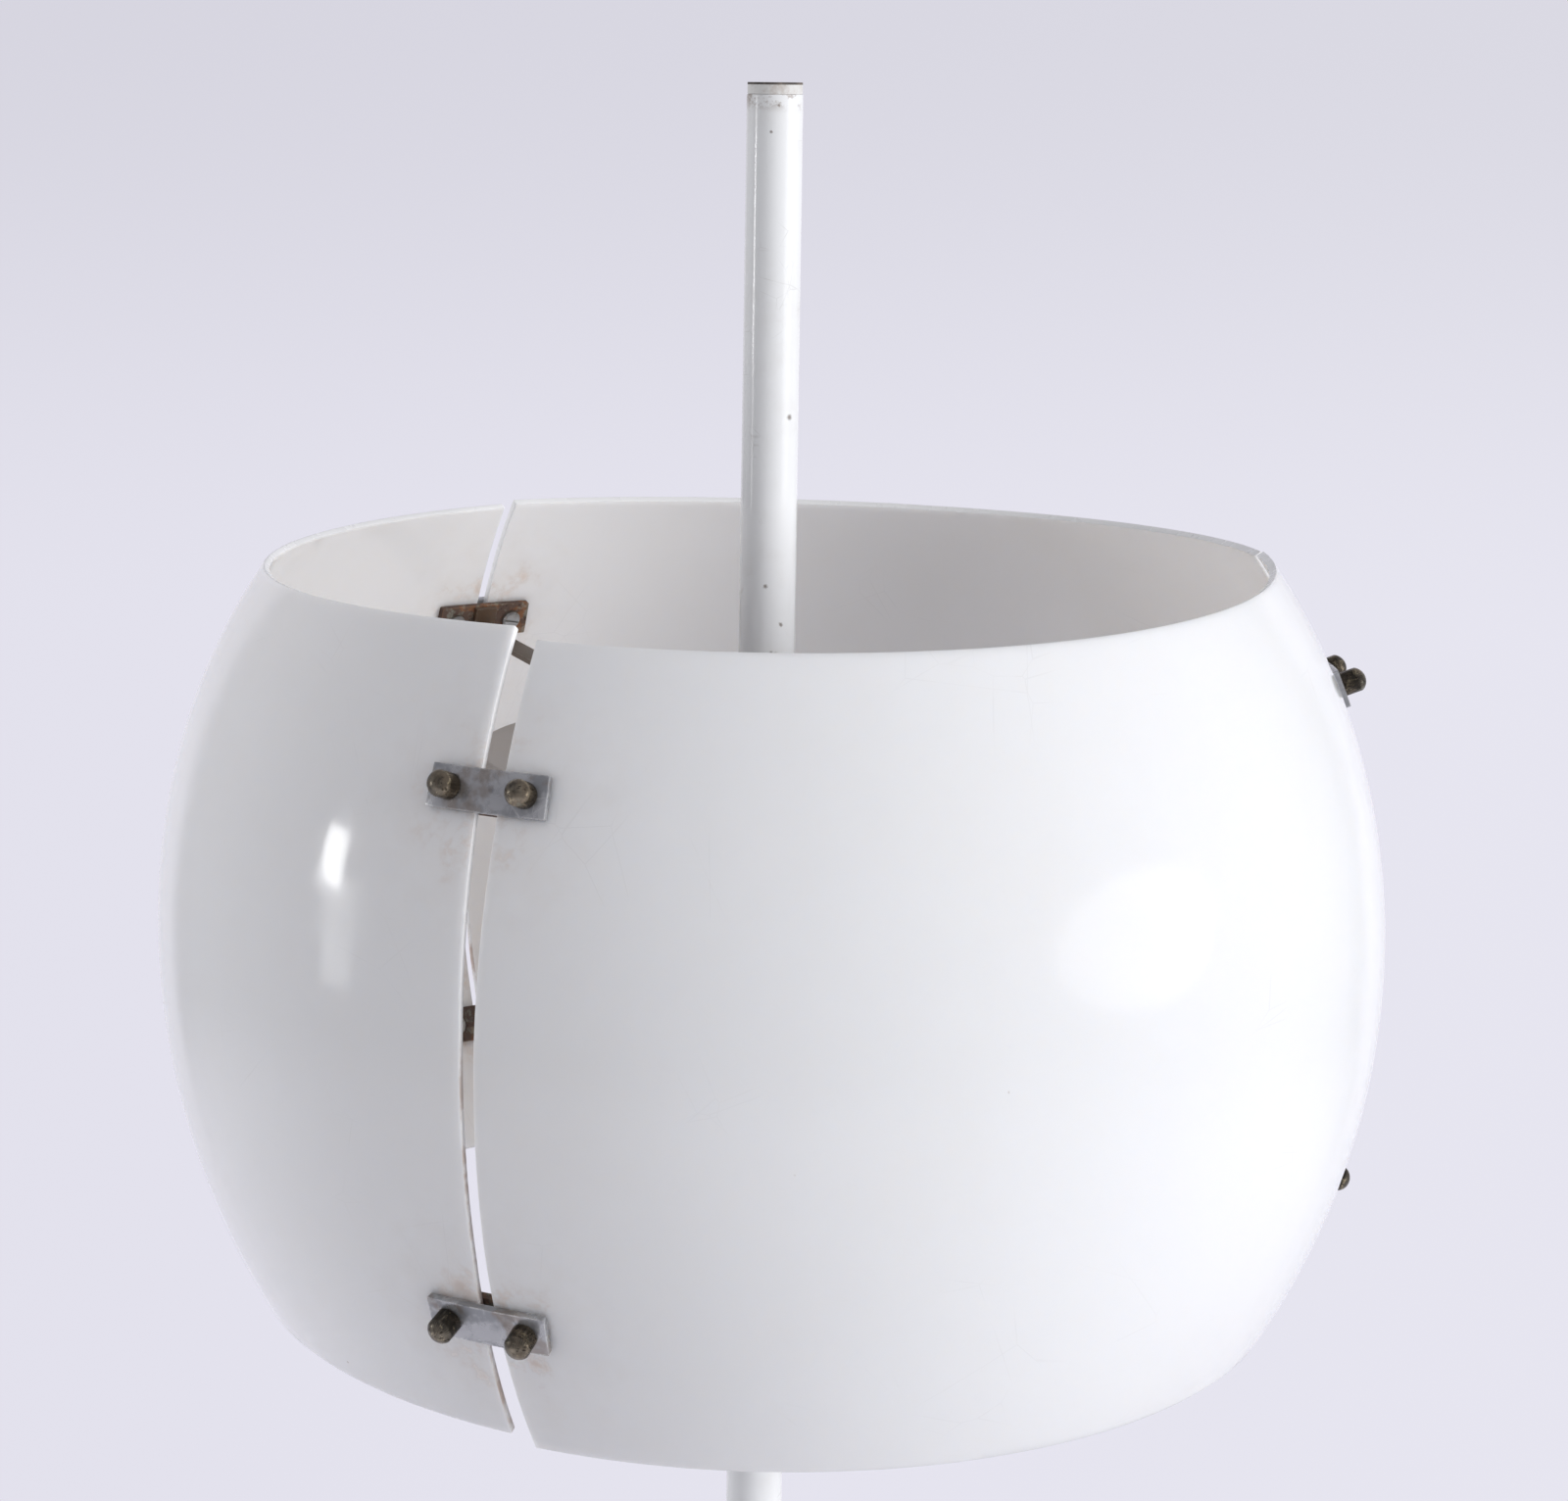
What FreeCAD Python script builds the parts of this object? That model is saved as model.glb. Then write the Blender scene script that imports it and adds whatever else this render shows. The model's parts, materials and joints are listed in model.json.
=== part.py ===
import FreeCAD, Part
import math
import os

# Tension pole lamp: a lacquered steel pole carries a barrel shade of three opal acrylic panels.
# The origin is the middle of the foot's underside on the floor, +Z is up, and -Y is the front.
# All lengths are in millimetres and all angles in degrees.

# ---- fits and clearances ----
running_gap = 0.08          # radial gap of a piece that slides or turns on a tube
screw_gap = 0.1             # radial gap of a screw in its hole
thread_gap = 0.02           # radial gap of a screw in its thread
seat_gap = 0.06             # lift of a flat head from a hollow face, so that its rim just touches
thread_end_gap = 0.5        # left free at the bottom of a tapped hole
cut_over = 1.0              # how far a cutter runs past the face that it opens
trim_over = 80.0            # how far the shade's trimming solids reach past its rims
slot_width = 1.2            # screwdriver slots
slot_depth = 1.1

# ---- foot ----
foot_radius = 150.0
foot_thickness = 14.0
foot_edge_round = 3.0
mat_thickness = 2.0
mat_margin = 10.0           # how far the mat stays inside the foot's edge
wire_channel_width = 8.0
wire_channel_depth = 8.0
wire_hole_radius = 6.0      # wire hole through the middle of the foot
gland_height = 6.5          # gland axis above the underside of the foot
gland_body_radius = 4.0
gland_bore_radius = 3.2
gland_flange_radius = 4.8
gland_flange_thickness = 2.5
gland_body_length = 16.0

# ---- socket that holds the lower tube on the foot ----
socket_flange_radius = 32.0
socket_flange_thickness = 6.0
socket_neck_radius = 15.0
socket_neck_height = 40.0
socket_neck_round = 6.0
socket_edge_bevel = 1.5
socket_screw_circle = 24.0
socket_screw_radius = 2.5
socket_screw_head_radius = 4.8
socket_screw_head_depth = 2.6
socket_screw_grip = 9.0     # thread length in the foot
socket_screw_count = 3
set_screw_radius = 3.0
set_screw_height = 22.0     # above the socket's flange

# ---- foot switch ----
switch_angle = -62.0
switch_circle = 98.0
switch_body_radius = 11.0
switch_body_depth = 11.0
switch_bezel_radius = 14.0
switch_bezel_height = 3.0
switch_bezel_slope = 1.2
switch_button_radius = 8.0
switch_button_height = 8.0  # button above the bezel
switch_button_depth = 7.0   # button below the bezel's top
switch_button_round = 2.5
switch_travel = 4.0
switch_gap = 0.3

# ---- telescoping pole ----
pole_radius = 12.5
pole_wall = 1.2
lower_tube_radius = 10.0
lower_tube_wall = 1.5
lower_tube_length = 1190.0
guide_length = 30.0         # bush length inside the pole
guide_flange_thickness = 3.0
tube_guide_length = 24.0    # bush length on the top of the lower tube
tube_guide_lip = 3.0
tube_guide_spigot = 18.0
tube_guide_bore = 6.0
collar_base_height = 95.0   # underside of the height collar above the floor
collar_radius = 18.0
collar_height = 30.0
collar_edge_bevel = 1.5
spring_length = 55.0        # spring between the height collar and the pole, under the pole's weight
spring_wire_radius = 1.0
spring_turns = 7
spring_side_gap = 0.3       # gap between the spring and the lower tube
pole_above_rim = 206.8      # tube's top end above the top rim of the shade
top_ring_radius = 12.2
top_ring_height = 4.4
top_plug_depth = 22.0
top_plug_wall = 2.5
top_plug_bevel = 0.4
ceiling_pad_radius = 12.2
ceiling_pad_thickness = 1.0

# ---- clamp knobs ----
knob_radius = 13.0
knob_height = 15.0
knob_edge_bevel = 1.5
knob_scallops = 7
knob_scallop_radius = 4.0
knob_scallop_circle = 15.4
knob_neck_radius = 7.0
knob_neck_height = 3.0
knob_stud_radius = 3.0
knob_tip_gap = 0.3          # stud tip to the tube that it clamps
height_knob_angle = -35.0
shade_knob_angle = 150.0

# ---- shade ----
shade_middle_height = 1380.0  # widest ring of the shade above the floor
shade_radius = 270.0          # outside, at the widest ring
shade_upper_arc = 290.7       # side profile radius above the widest ring
shade_lower_arc = 313.4       # side profile radius below it
shade_top = 156.5             # top rim above the widest ring
shade_bottom = 167.5          # bottom rim below the widest ring
rim_spare = 14.0              # wall beyond each rim before it is trimmed
panel_thickness = 3.5
panel_edge_bevel = 0.9
wall_steps = 12               # places that the wall's curve passes through
rim_dip = 3.1                 # how much lower the middle of a panel's top rim is than its ends
first_joint_angle = 5.5       # direction of the right-hand panel joint
panel_count = 3
joint_gap_top = 8.2           # gap between two panels at the top rim
joint_gap_waist = 3.6         # and at its narrowest place
joint_gap_bottom = 6.6        # and at the bottom rim
joint_waist = -78.0           # height of the narrowest place
panel_names = ["panel_back", "panel_left", "panel_front"]
panel_lift = {"panel_back": 3.3, "panel_left": 0.0, "panel_front": 0.8}
panel_rim_slope = {"panel_back": -0.5, "panel_left": 0.0, "panel_front": 1.6}

# ---- links that join the panels ----
joint_names = ["right", "back_left", "front_left"]
upper_link_height = {"right": 104.0, "back_left": 96.0, "front_left": 96.0}
lower_link_height = {"right": -113.0, "back_left": -113.0, "front_left": -113.0}
link_width = 51.0
link_height = 17.0
link_thickness = 3.0
link_corner_round = 0.8
link_bolt_spacing = 33.0
link_bolt_radius = 2.5
link_head_radius = 4.7
link_head_height = 2.8
link_head_bevel = 1.0
slot_turn = 40.0              # each bolt's slot is turned this much from the one before
nut_radius = 6.0
nut_length = 14.0
nut_grip = 8.0                # thread length in a nut

# ---- arms, lamp disc and hub ----
disc_height = 70.0            # top of the lamp disc above the widest ring
disc_radius = 130.0
disc_thickness = 1.5
disc_lip = 7.0
disc_round = 3.0
disc_bore_gap = 0.6           # radial gap between the disc and the pole
disc_wire_hole_radius = 4.0
disc_wire_hole_circle = 45.0
arm_width = 12.0
arm_thickness = 2.5
arm_seat_gap = 0.08           # flat arm end on the hollow link, touching at its edges
arm_seat_up = 8.0             # arm end above the link's middle, along the wall
arm_seat_down = 6.0
arm_foot_outer = 12.0         # where the arm's foot starts, in from the disc's edge
arm_foot_length = 24.0
arm_bend_round = 3.0
arm_screw_radius = 2.0
arm_screw_head_radius = 4.0
arm_screw_head_height = 2.4
arm_screw_head_bevel = 0.8
arm_screw_end = 1.0           # screw showing past its nut
arm_nut_radius = 4.0
arm_nut_height = 3.2
hub_flange_radius = 35.0
hub_flange_thickness = 5.0
hub_neck_radius = 18.0
hub_neck_length = 30.0
hub_neck_round = 4.0
hub_edge_bevel = 1.0
hub_screw_circle = 27.0
hub_screw_radius = 2.0
hub_screw_head_radius = 3.8
hub_screw_head_height = 2.4
hub_screw_head_bevel = 0.8
hub_screw_grip = 4.0
shade_collar_radius = 20.0
shade_collar_height = 20.0
wire_exit_radius = 4.0        # hole in the pole's wall above the lamp disc
wire_exit_above_disc = 62.0

# ---- lampholders and bulbs ----
holder_circle = 80.0
holder_radius = 19.0
holder_length = 46.0
holder_shoulder_radius = 13.0
holder_shoulder_height = 12.0
holder_mouth_radius = 14.0
holder_mouth_depth = 27.0
nipple_radius = 5.0
nipple_height = 8.0           # nipple above the disc
nipple_wall = 1.5
nipple_wire_depth = 4.0       # the wires' hole goes on into the holder
holder_nut_across = 17.0
holder_nut_height = 4.0
bulb_cap_radius = 13.2
bulb_cap_length = 24.0
bulb_cap_gap = 1.0            # cap to the bottom of the holder's mouth
bulb_radius = 30.0
bulb_length = 78.0            # glass, from the cap to the tip
bulb_neck_radius = 12.4
bulb_shoulder_radius = 22.0   # where the neck's curve meets the ball
bulb_neck_flare = 2.4
bulb_cap_shoulder = 5.0

# ---- worked out from the sizes above ----
foot_bottom = mat_thickness
foot_top = foot_bottom + foot_thickness
socket_bore_radius = lower_tube_radius + screw_gap
pole_bore_radius = pole_radius - pole_wall
lower_tube_top = foot_top + lower_tube_length
collar_top = collar_base_height + collar_height
pole_bottom = collar_top + spring_length + guide_flange_thickness
disc_top = shade_middle_height + disc_height
disc_bottom = disc_top - disc_thickness
hub_top = disc_bottom
hub_bottom = hub_top - hub_flange_thickness - hub_neck_length
sector = 360.0 / panel_count
pole_top = shade_middle_height + shade_top + pole_above_rim
top_ring_top = pole_top + top_ring_height
ceiling_pad_top = top_ring_top + ceiling_pad_thickness

V = FreeCAD.Vector
up = V(0, 0, 1)
os.makedirs("parts", exist_ok=True)


def save(name, *solids):
    shape = solids[0] if len(solids) == 1 else Part.makeCompound(list(solids))
    shape.exportStep("parts/" + name + ".step")


def cylinder(radius, low, high):
    return Part.makeCylinder(radius, high - low, V(0, 0, low))


def tube(outer, inner, low, high):
    return cylinder(outer, low, high).cut(cylinder(inner, low - 1, high + 1))


def turned(outline):
    # a solid of revolution from corner points (radius, height)
    corners = [V(radius, 0, height) for radius, height in outline]
    face = Part.Face(Part.makePolygon(corners + [corners[0]]))
    return face.revolve(V(0, 0, 0), up, 360)


def turn(shape, angle):
    moved = shape.copy()
    moved.rotate(V(0, 0, 0), up, angle)
    return moved


def lift(shape, height):
    moved = shape.copy()
    moved.translate(V(0, 0, height))
    return moved


def around(shape, circle, angle):
    # a copy that stands on a circle round the pole
    moved = shape.copy()
    moved.translate(V(circle, 0, 0))
    return turn(moved, angle)


def edges_near(shape, test):
    return [edge for edge in shape.Edges if test(edge)]


def is_circle(edge, radius, height):
    curve = edge.Curve
    round_edge = isinstance(curve, Part.Circle)
    return round_edge and abs(curve.Radius - radius) < 0.01 and abs(curve.Center.z - height) < 0.01


def rounded_rings(shape, size, rings):
    # rounds the circular edges named by their radius and height
    chosen = edges_near(shape, lambda edge: any(is_circle(edge, radius, z) for radius, z in rings))
    return shape.makeFillet(size, chosen)


def bevelled_rings(shape, size, rings):
    chosen = edges_near(shape, lambda edge: any(is_circle(edge, radius, z) for radius, z in rings))
    return shape.makeChamfer(size, chosen)


def screw_shape(head_radius, head_height, bevel, shank_radius, tip):
    # a screw with its head standing on z = 0 and its shank going down to the tip
    return turned([(0, tip), (shank_radius, tip), (shank_radius, 0), (head_radius, 0),
                   (head_radius, head_height - bevel), (head_radius - bevel, head_height), (0, head_height)])


def screwdriver_slot(head_radius, head_height):
    return Part.makeBox(2 * head_radius, slot_width, slot_depth,
                        V(-head_radius, -slot_width / 2, head_height - slot_depth))


def hexagon(across, height):
    corner = across / math.sqrt(3)
    points = [V(corner * math.cos(math.radians(a)), corner * math.sin(math.radians(a)), 0)
              for a in range(0, 361, 60)]
    return Part.Face(Part.makePolygon(points)).extrude(V(0, 0, height))


# ---- foot, socket and lower tube ----
def make_mat():
    return cylinder(foot_radius - mat_margin, 0, mat_thickness)


def make_foot():
    plate = cylinder(foot_radius, foot_bottom, foot_top)
    plate = rounded_rings(plate, foot_edge_round, [(foot_radius, foot_top)])
    channel = Part.makeBox(wire_channel_width, foot_radius - gland_body_length + wire_hole_radius,
                           wire_channel_depth,
                           V(-wire_channel_width / 2, -wire_hole_radius, foot_bottom))
    plate = plate.cut(channel)
    plate = plate.cut(cylinder(wire_hole_radius, foot_bottom - 1, foot_top + 1))
    gland_hole = Part.makeCylinder(gland_body_radius, gland_body_length + 1,
                                   V(0, foot_radius - gland_body_length - 0.5, foot_bottom + gland_height),
                                   V(0, 1, 0))
    plate = plate.cut(gland_hole)
    for index in range(socket_screw_count):
        hole = cylinder(socket_screw_radius + thread_gap, foot_top - socket_screw_grip, foot_top + 1)
        plate = plate.cut(around(hole, socket_screw_circle, screw_angle(index)))
    switch_floor = foot_top - switch_body_depth - screw_gap
    switch_hole = cylinder(switch_body_radius + screw_gap, switch_floor, foot_top + cut_over)
    return plate.cut(around(switch_hole, switch_circle, switch_angle))


def screw_angle(index):
    return 30.0 + 360.0 * index / socket_screw_count


def make_gland():
    middle = V(0, foot_radius - gland_body_length, foot_bottom + gland_height)
    length = gland_body_length + gland_flange_thickness
    body = Part.makeCylinder(gland_body_radius, gland_body_length, middle, V(0, 1, 0))
    flange = Part.makeCylinder(gland_flange_radius, gland_flange_thickness,
                               V(0, foot_radius, foot_bottom + gland_height), V(0, 1, 0))
    bore = Part.makeCylinder(gland_bore_radius, length + 2, middle - V(0, 1, 0), V(0, 1, 0))
    return body.fuse(flange).cut(bore).removeSplitter()


def make_socket():
    flange_top = foot_top + socket_flange_thickness
    neck_top = flange_top + socket_neck_height
    body = turned([(0, foot_top), (socket_flange_radius, foot_top), (socket_flange_radius, flange_top),
                   (socket_neck_radius, flange_top), (socket_neck_radius, neck_top), (0, neck_top)])
    body = rounded_rings(body, socket_neck_round, [(socket_neck_radius, flange_top)])
    rims = [(socket_flange_radius, flange_top), (socket_neck_radius, neck_top)]
    body = bevelled_rings(body, socket_edge_bevel, rims)
    body = body.cut(cylinder(socket_bore_radius, foot_top - 1, neck_top + 1))
    sink = Part.makeCone(socket_screw_radius, socket_screw_head_radius, socket_screw_head_depth,
                         V(0, 0, flange_top - socket_screw_head_depth))
    hole = cylinder(socket_screw_radius + screw_gap, foot_top - 1, flange_top).fuse(sink)
    for index in range(socket_screw_count):
        body = body.cut(around(hole, socket_screw_circle, screw_angle(index)))
    set_hole = Part.makeCylinder(set_screw_radius + thread_gap, socket_neck_radius + 1,
                                 V(0, 0, flange_top + set_screw_height), V(0, 1, 0))
    return body.cut(set_hole)


def make_socket_screws():
    flange_top = foot_top + socket_flange_thickness
    head = Part.makeCone(socket_screw_radius, socket_screw_head_radius, socket_screw_head_depth,
                         V(0, 0, flange_top - socket_screw_head_depth))
    tip = foot_top - socket_screw_grip + thread_end_gap
    screw = cylinder(socket_screw_radius, tip, flange_top).fuse(head)
    screw = screw.cut(screwdriver_slot(socket_screw_head_radius, flange_top)).removeSplitter()
    return [around(screw, socket_screw_circle, screw_angle(index)) for index in range(socket_screw_count)]


def make_set_screw():
    height = foot_top + socket_flange_thickness + set_screw_height
    length = socket_neck_radius - lower_tube_radius - screw_gap
    start = V(0, lower_tube_radius + screw_gap, height)
    screw = Part.makeCylinder(set_screw_radius, length, start, V(0, 1, 0))
    slot = Part.makeBox(2 * set_screw_radius, slot_depth, slot_width,
                        V(-set_screw_radius, socket_neck_radius - slot_depth, height - slot_width / 2))
    return screw.cut(slot)


def make_lower_tube():
    return tube(lower_tube_radius, lower_tube_radius - lower_tube_wall, foot_top, lower_tube_top)


def make_tube_guide():
    # bush on the lower tube's top end, which steadies it inside the pole
    outer = pole_bore_radius - running_gap
    spigot = lower_tube_radius - lower_tube_wall
    low = lower_tube_top
    return turned([(tube_guide_bore, low - tube_guide_spigot), (spigot, low - tube_guide_spigot),
                   (spigot, low), (outer, low), (outer, low + tube_guide_length),
                   (outer - tube_guide_lip, low + tube_guide_length + 1),
                   (tube_guide_bore, low + tube_guide_length + 1)])


def make_switch_housing():
    top = foot_top + switch_bezel_height
    bore = switch_button_radius + switch_gap
    floor = foot_top + switch_bezel_height - switch_button_depth - switch_travel - switch_gap
    low = foot_top - switch_body_depth
    housing = turned([(0, low), (switch_body_radius, low), (switch_body_radius, foot_top),
                      (switch_bezel_radius, foot_top), (switch_bezel_radius - switch_bezel_slope, top),
                      (bore, top), (bore, floor), (0, floor)])
    return around(housing, switch_circle, switch_angle)


def make_switch_button():
    top = foot_top + switch_bezel_height + switch_button_height
    low = foot_top + switch_bezel_height - switch_button_depth
    button = cylinder(switch_button_radius, low, top)
    button = rounded_rings(button, switch_button_round, [(switch_button_radius, top)])
    return around(button, switch_circle, switch_angle)


# ---- height collar, spring and knobs ----
def make_collar(radius, bore, low, height, knob_angle):
    body = cylinder(radius, low, low + height)
    body = bevelled_rings(body, collar_edge_bevel, [(radius, low), (radius, low + height)])
    body = body.cut(cylinder(bore, low - 1, low + height + 1))
    stud_hole = knob_stud_radius + running_gap
    thread = Part.makeCylinder(stud_hole, radius + cut_over, V(0, 0, low + height / 2), V(1, 0, 0))
    return body.cut(turn(thread, knob_angle))


def make_knob(collar, clamped_radius, height, angle):
    # stud along +X, with its tip just off the clamped tube, and a scalloped grip outside the collar
    grip_start = collar + knob_neck_height
    grip = Part.makeCylinder(knob_radius, knob_height)
    rims = [(knob_radius, 0), (knob_radius, knob_height)]
    grip = bevelled_rings(grip, knob_edge_bevel, rims)
    for index in range(knob_scallops):
        cutter = Part.makeCylinder(knob_scallop_radius, knob_height + 2, V(knob_scallop_circle, 0, -1))
        grip = grip.cut(turn(cutter, 360.0 * index / knob_scallops))
    neck = cylinder(knob_neck_radius, running_gap - knob_neck_height, 0)
    stud = cylinder(knob_stud_radius, clamped_radius + knob_tip_gap - grip_start, 0)
    knob = grip.fuse(neck).fuse(stud).removeSplitter()
    knob.rotate(V(0, 0, 0), V(0, 1, 0), 90)
    knob.translate(V(grip_start, 0, height))
    return turn(knob, angle)


def arc_leaving(start, direction, end):
    # the arc that leaves start along direction and ends at end
    chord = end - start
    along = V(chord)
    along.normalize()
    side = direction - along * direction.dot(along)
    half_turn = math.acos(max(-1.0, min(1.0, direction.dot(along))))
    side.normalize()
    middle = start + chord * 0.5 + side * (chord.Length / 2 * math.tan(half_turn / 2))
    return Part.Arc(start, middle, end).toShape()


def helix_point(radius, pitch, low, angle):
    return V(radius * math.cos(angle), radius * math.sin(angle), low + pitch * angle / (2 * math.pi))


def helix_direction(radius, pitch, angle):
    direction = V(-radius * math.sin(angle), radius * math.cos(angle), pitch / (2 * math.pi))
    direction.normalize()
    return direction


def make_spring():
    radius = lower_tube_radius + spring_side_gap + spring_wire_radius
    rise = spring_length - 2 * spring_wire_radius
    pitch = rise / spring_turns
    low = collar_top + spring_wire_radius
    edges = []
    for index in range(2 * spring_turns):
        start = helix_point(radius, pitch, low, index * math.pi)
        end = helix_point(radius, pitch, low, (index + 1) * math.pi)
        leaving = helix_direction(radius, pitch, index * math.pi)
        arriving = helix_direction(radius, pitch, (index + 1) * math.pi)
        gap = end - start
        total = leaving + arriving
        bend = 2 * (1 - leaving.dot(arriving))
        reach = (-gap.dot(total) + math.sqrt(gap.dot(total) ** 2 + bend * gap.dot(gap))) / bend
        middle = (start + end + (leaving - arriving) * reach) * 0.5
        edges.append(arc_leaving(start, leaving, middle))
        back = arc_leaving(end, arriving * -1, middle)
        edges.append(back)
    path = Part.Wire(Part.__sortEdges__(edges))
    first = helix_point(radius, pitch, low, 0)
    section = Part.Wire(Part.makeCircle(spring_wire_radius, first, helix_direction(radius, pitch, 0)))
    spring = path.makePipeShell([section], True, False)
    print("spring: least gap between turns", round(pitch - 2 * spring_wire_radius, 2), "mm")
    return spring


# ---- pole ----
def make_pole():
    body = tube(pole_radius, pole_bore_radius, pole_bottom, pole_top)
    exit_hole = Part.makeCylinder(wire_exit_radius, pole_radius + 1,
                                  V(0, 0, disc_top + wire_exit_above_disc), V(1, 0, 0))
    return body.cut(turn(exit_hole, first_joint_angle + sector / 2))


def make_pole_guide():
    bore = lower_tube_radius + running_gap
    low = pole_bottom - guide_flange_thickness
    return turned([(bore, low), (pole_radius, low), (pole_radius, pole_bottom),
                   (pole_bore_radius, pole_bottom), (pole_bore_radius, pole_bottom + guide_length),
                   (bore, pole_bottom + guide_length)])


def make_top_plug():
    inner = pole_bore_radius - top_plug_wall
    body = turned([(inner, pole_top - top_plug_depth), (pole_bore_radius, pole_top - top_plug_depth),
                   (pole_bore_radius, pole_top), (top_ring_radius, pole_top),
                   (top_ring_radius, top_ring_top), (0, top_ring_top),
                   (0, top_ring_top - top_plug_wall), (inner, top_ring_top - top_plug_wall)])
    return bevelled_rings(body, top_plug_bevel, [(top_ring_radius, pole_top)])


def make_ceiling_pad():
    return cylinder(ceiling_pad_radius, top_ring_top, ceiling_pad_top)


# ---- shade wall ----
def side_arc(height):
    return shade_upper_arc if height >= 0 else shade_lower_arc


def wall_point(height, depth):
    # point at a depth outside the shade's outer face, square to the place of that height
    arc = side_arc(height)
    lean = math.asin(height / arc)
    radius = shade_radius - arc + (arc + depth) * math.cos(lean)
    return V(radius, 0, (arc + depth) * math.sin(lean))


def wall_lean(height):
    return math.asin(height / side_arc(height))


def joint_angle(index):
    return first_joint_angle + sector * index


def wall_curve(low, high, depth):
    # one smooth curve through the upper and lower arcs, so that the wall is a single face
    heights = [low + (high - low) * step / wall_steps for step in range(wall_steps + 1)]
    curve = Part.BSplineCurve()
    curve.interpolate([wall_point(height, depth) for height in heights])
    return curve.toShape()


def panel_profile():
    # the wall's section, a little taller than the panel, which is then trimmed
    top = shade_top + rim_spare
    bottom = -shade_bottom - rim_spare
    inner = -panel_thickness
    edges = [wall_curve(bottom, top, 0),
             Part.LineSegment(wall_point(top, 0), wall_point(top, inner)).toShape(),
             wall_curve(bottom, top, inner),
             Part.LineSegment(wall_point(bottom, inner), wall_point(bottom, 0)).toShape()]
    return Part.Face(Part.Wire(Part.__sortEdges__(edges)))


def arc_outline(left, middle, right, far):
    # a closed outline with one arched side, in the YZ plane
    arched = Part.Arc(left, middle, right).toShape()
    rest = Part.makePolygon([right, V(0, right.y, far), V(0, left.y, far), left])
    return Part.Face(Part.Wire([arched] + rest.Edges))


def top_trimmer(name):
    # everything above the panel's top rim, which slopes a little and dips in its middle
    reach = shade_radius
    slope = math.tan(math.radians(panel_rim_slope[name])) * reach
    half_chord = wall_point(shade_top, 0).x * math.sin(math.radians(sector / 2))
    dip = rim_dip * (reach / half_chord) ** 2
    middle = shade_top + panel_lift[name] - rim_dip
    face = arc_outline(V(0, -reach, middle + dip - slope), V(0, 0, middle),
                       V(0, reach, middle + dip + slope), shade_top + trim_over)
    return face.extrude(V(2 * shade_radius, 0, 0))


def bottom_trimmer(name):
    reach = shade_radius
    slope = math.tan(math.radians(panel_rim_slope[name])) * reach
    edge = -shade_bottom + panel_lift[name]
    far = -shade_bottom - trim_over
    outline = Part.makePolygon([V(0, -reach, edge - slope), V(0, reach, edge + slope),
                                V(0, reach, far), V(0, -reach, far), V(0, -reach, edge - slope)])
    return Part.Face(outline).extrude(V(2 * shade_radius, 0, 0))


def gap_cutter():
    # the space between two panels, narrowest below the widest ring
    top = V(0, joint_gap_top / 2, shade_top + rim_spare)
    waist = V(0, joint_gap_waist / 2, joint_waist)
    bottom = V(0, joint_gap_bottom / 2, -shade_bottom - rim_spare)
    sides = []
    for sign in (1, -1):
        points = [V(0, sign * point.y, point.z) for point in (top, waist, bottom)]
        sides.append(Part.Arc(*points).toShape())
    caps = [Part.LineSegment(V(0, point.y, point.z), V(0, -point.y, point.z)).toShape()
            for point in (top, bottom)]
    face = Part.Face(Part.Wire(Part.__sortEdges__(sides + caps)))
    return face.extrude(V(2 * shade_radius, 0, 0))


def drilled(shape, places):
    # cuts holes for the link bolts through the wall and its links, each square to the wall
    depth = panel_thickness + link_thickness + cut_over
    for height, angle in places:
        drill = Part.makeCylinder(link_bolt_radius + screw_gap, 2 * depth, V(0, 0, -depth))
        shape = shape.cut(stand_on_wall(drill, height, angle))
    return shape


def bolt_place(heights, index, side):
    # height and angle of the bolt on one side of a joint: side is -1 or 1
    height = heights[joint_names[index % panel_count]]
    offset = math.degrees(link_bolt_spacing / 2 / wall_point(height, 0).x)
    return height, joint_angle(index) + side * offset


def bolt_places(heights):
    return [bolt_place(heights, index, side) for index in range(panel_count) for side in (-1, 1)]


def stand_on_wall(shape, height, angle):
    # turns +Z to the wall's outward direction and moves the shape to that place on the outer face
    lean = wall_lean(height)
    placed = shape.copy()
    placed.rotate(V(0, 0, 0), V(0, 1, 0), 90 - math.degrees(lean))
    placed.translate(wall_point(height, 0))
    return lift(turn(placed, angle), shade_middle_height)


def make_panel(index):
    name = panel_names[index]
    middle = joint_angle(index) + sector / 2
    wall = turn(panel_profile().revolve(V(0, 0, 0), up, sector), joint_angle(index))
    wall = wall.cut(turn(top_trimmer(name), middle))
    wall = wall.cut(turn(bottom_trimmer(name), middle))
    for end in (index, index + 1):
        wall = wall.cut(turn(gap_cutter(), joint_angle(end)))
    wall = lift(wall, shade_middle_height)
    places = []
    for heights in (upper_link_height, lower_link_height):
        places.append(bolt_place(heights, index, 1))
        places.append(bolt_place(heights, index + 1, -1))
    wall = drilled(wall, places)
    long_edges = edges_near(wall, lambda edge: edge.Length > shade_top)
    return wall.makeChamfer(panel_edge_bevel, long_edges)


# ---- links, bolts and nuts ----
def inner_link_depth(height):
    # where the inner link's inner face lies: its long edges touch the hollow side of the wall
    arc = side_arc(height) - panel_thickness
    sag = arc - math.sqrt(arc ** 2 - (link_height / 2) ** 2)
    return -panel_thickness - sag - link_thickness


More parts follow.
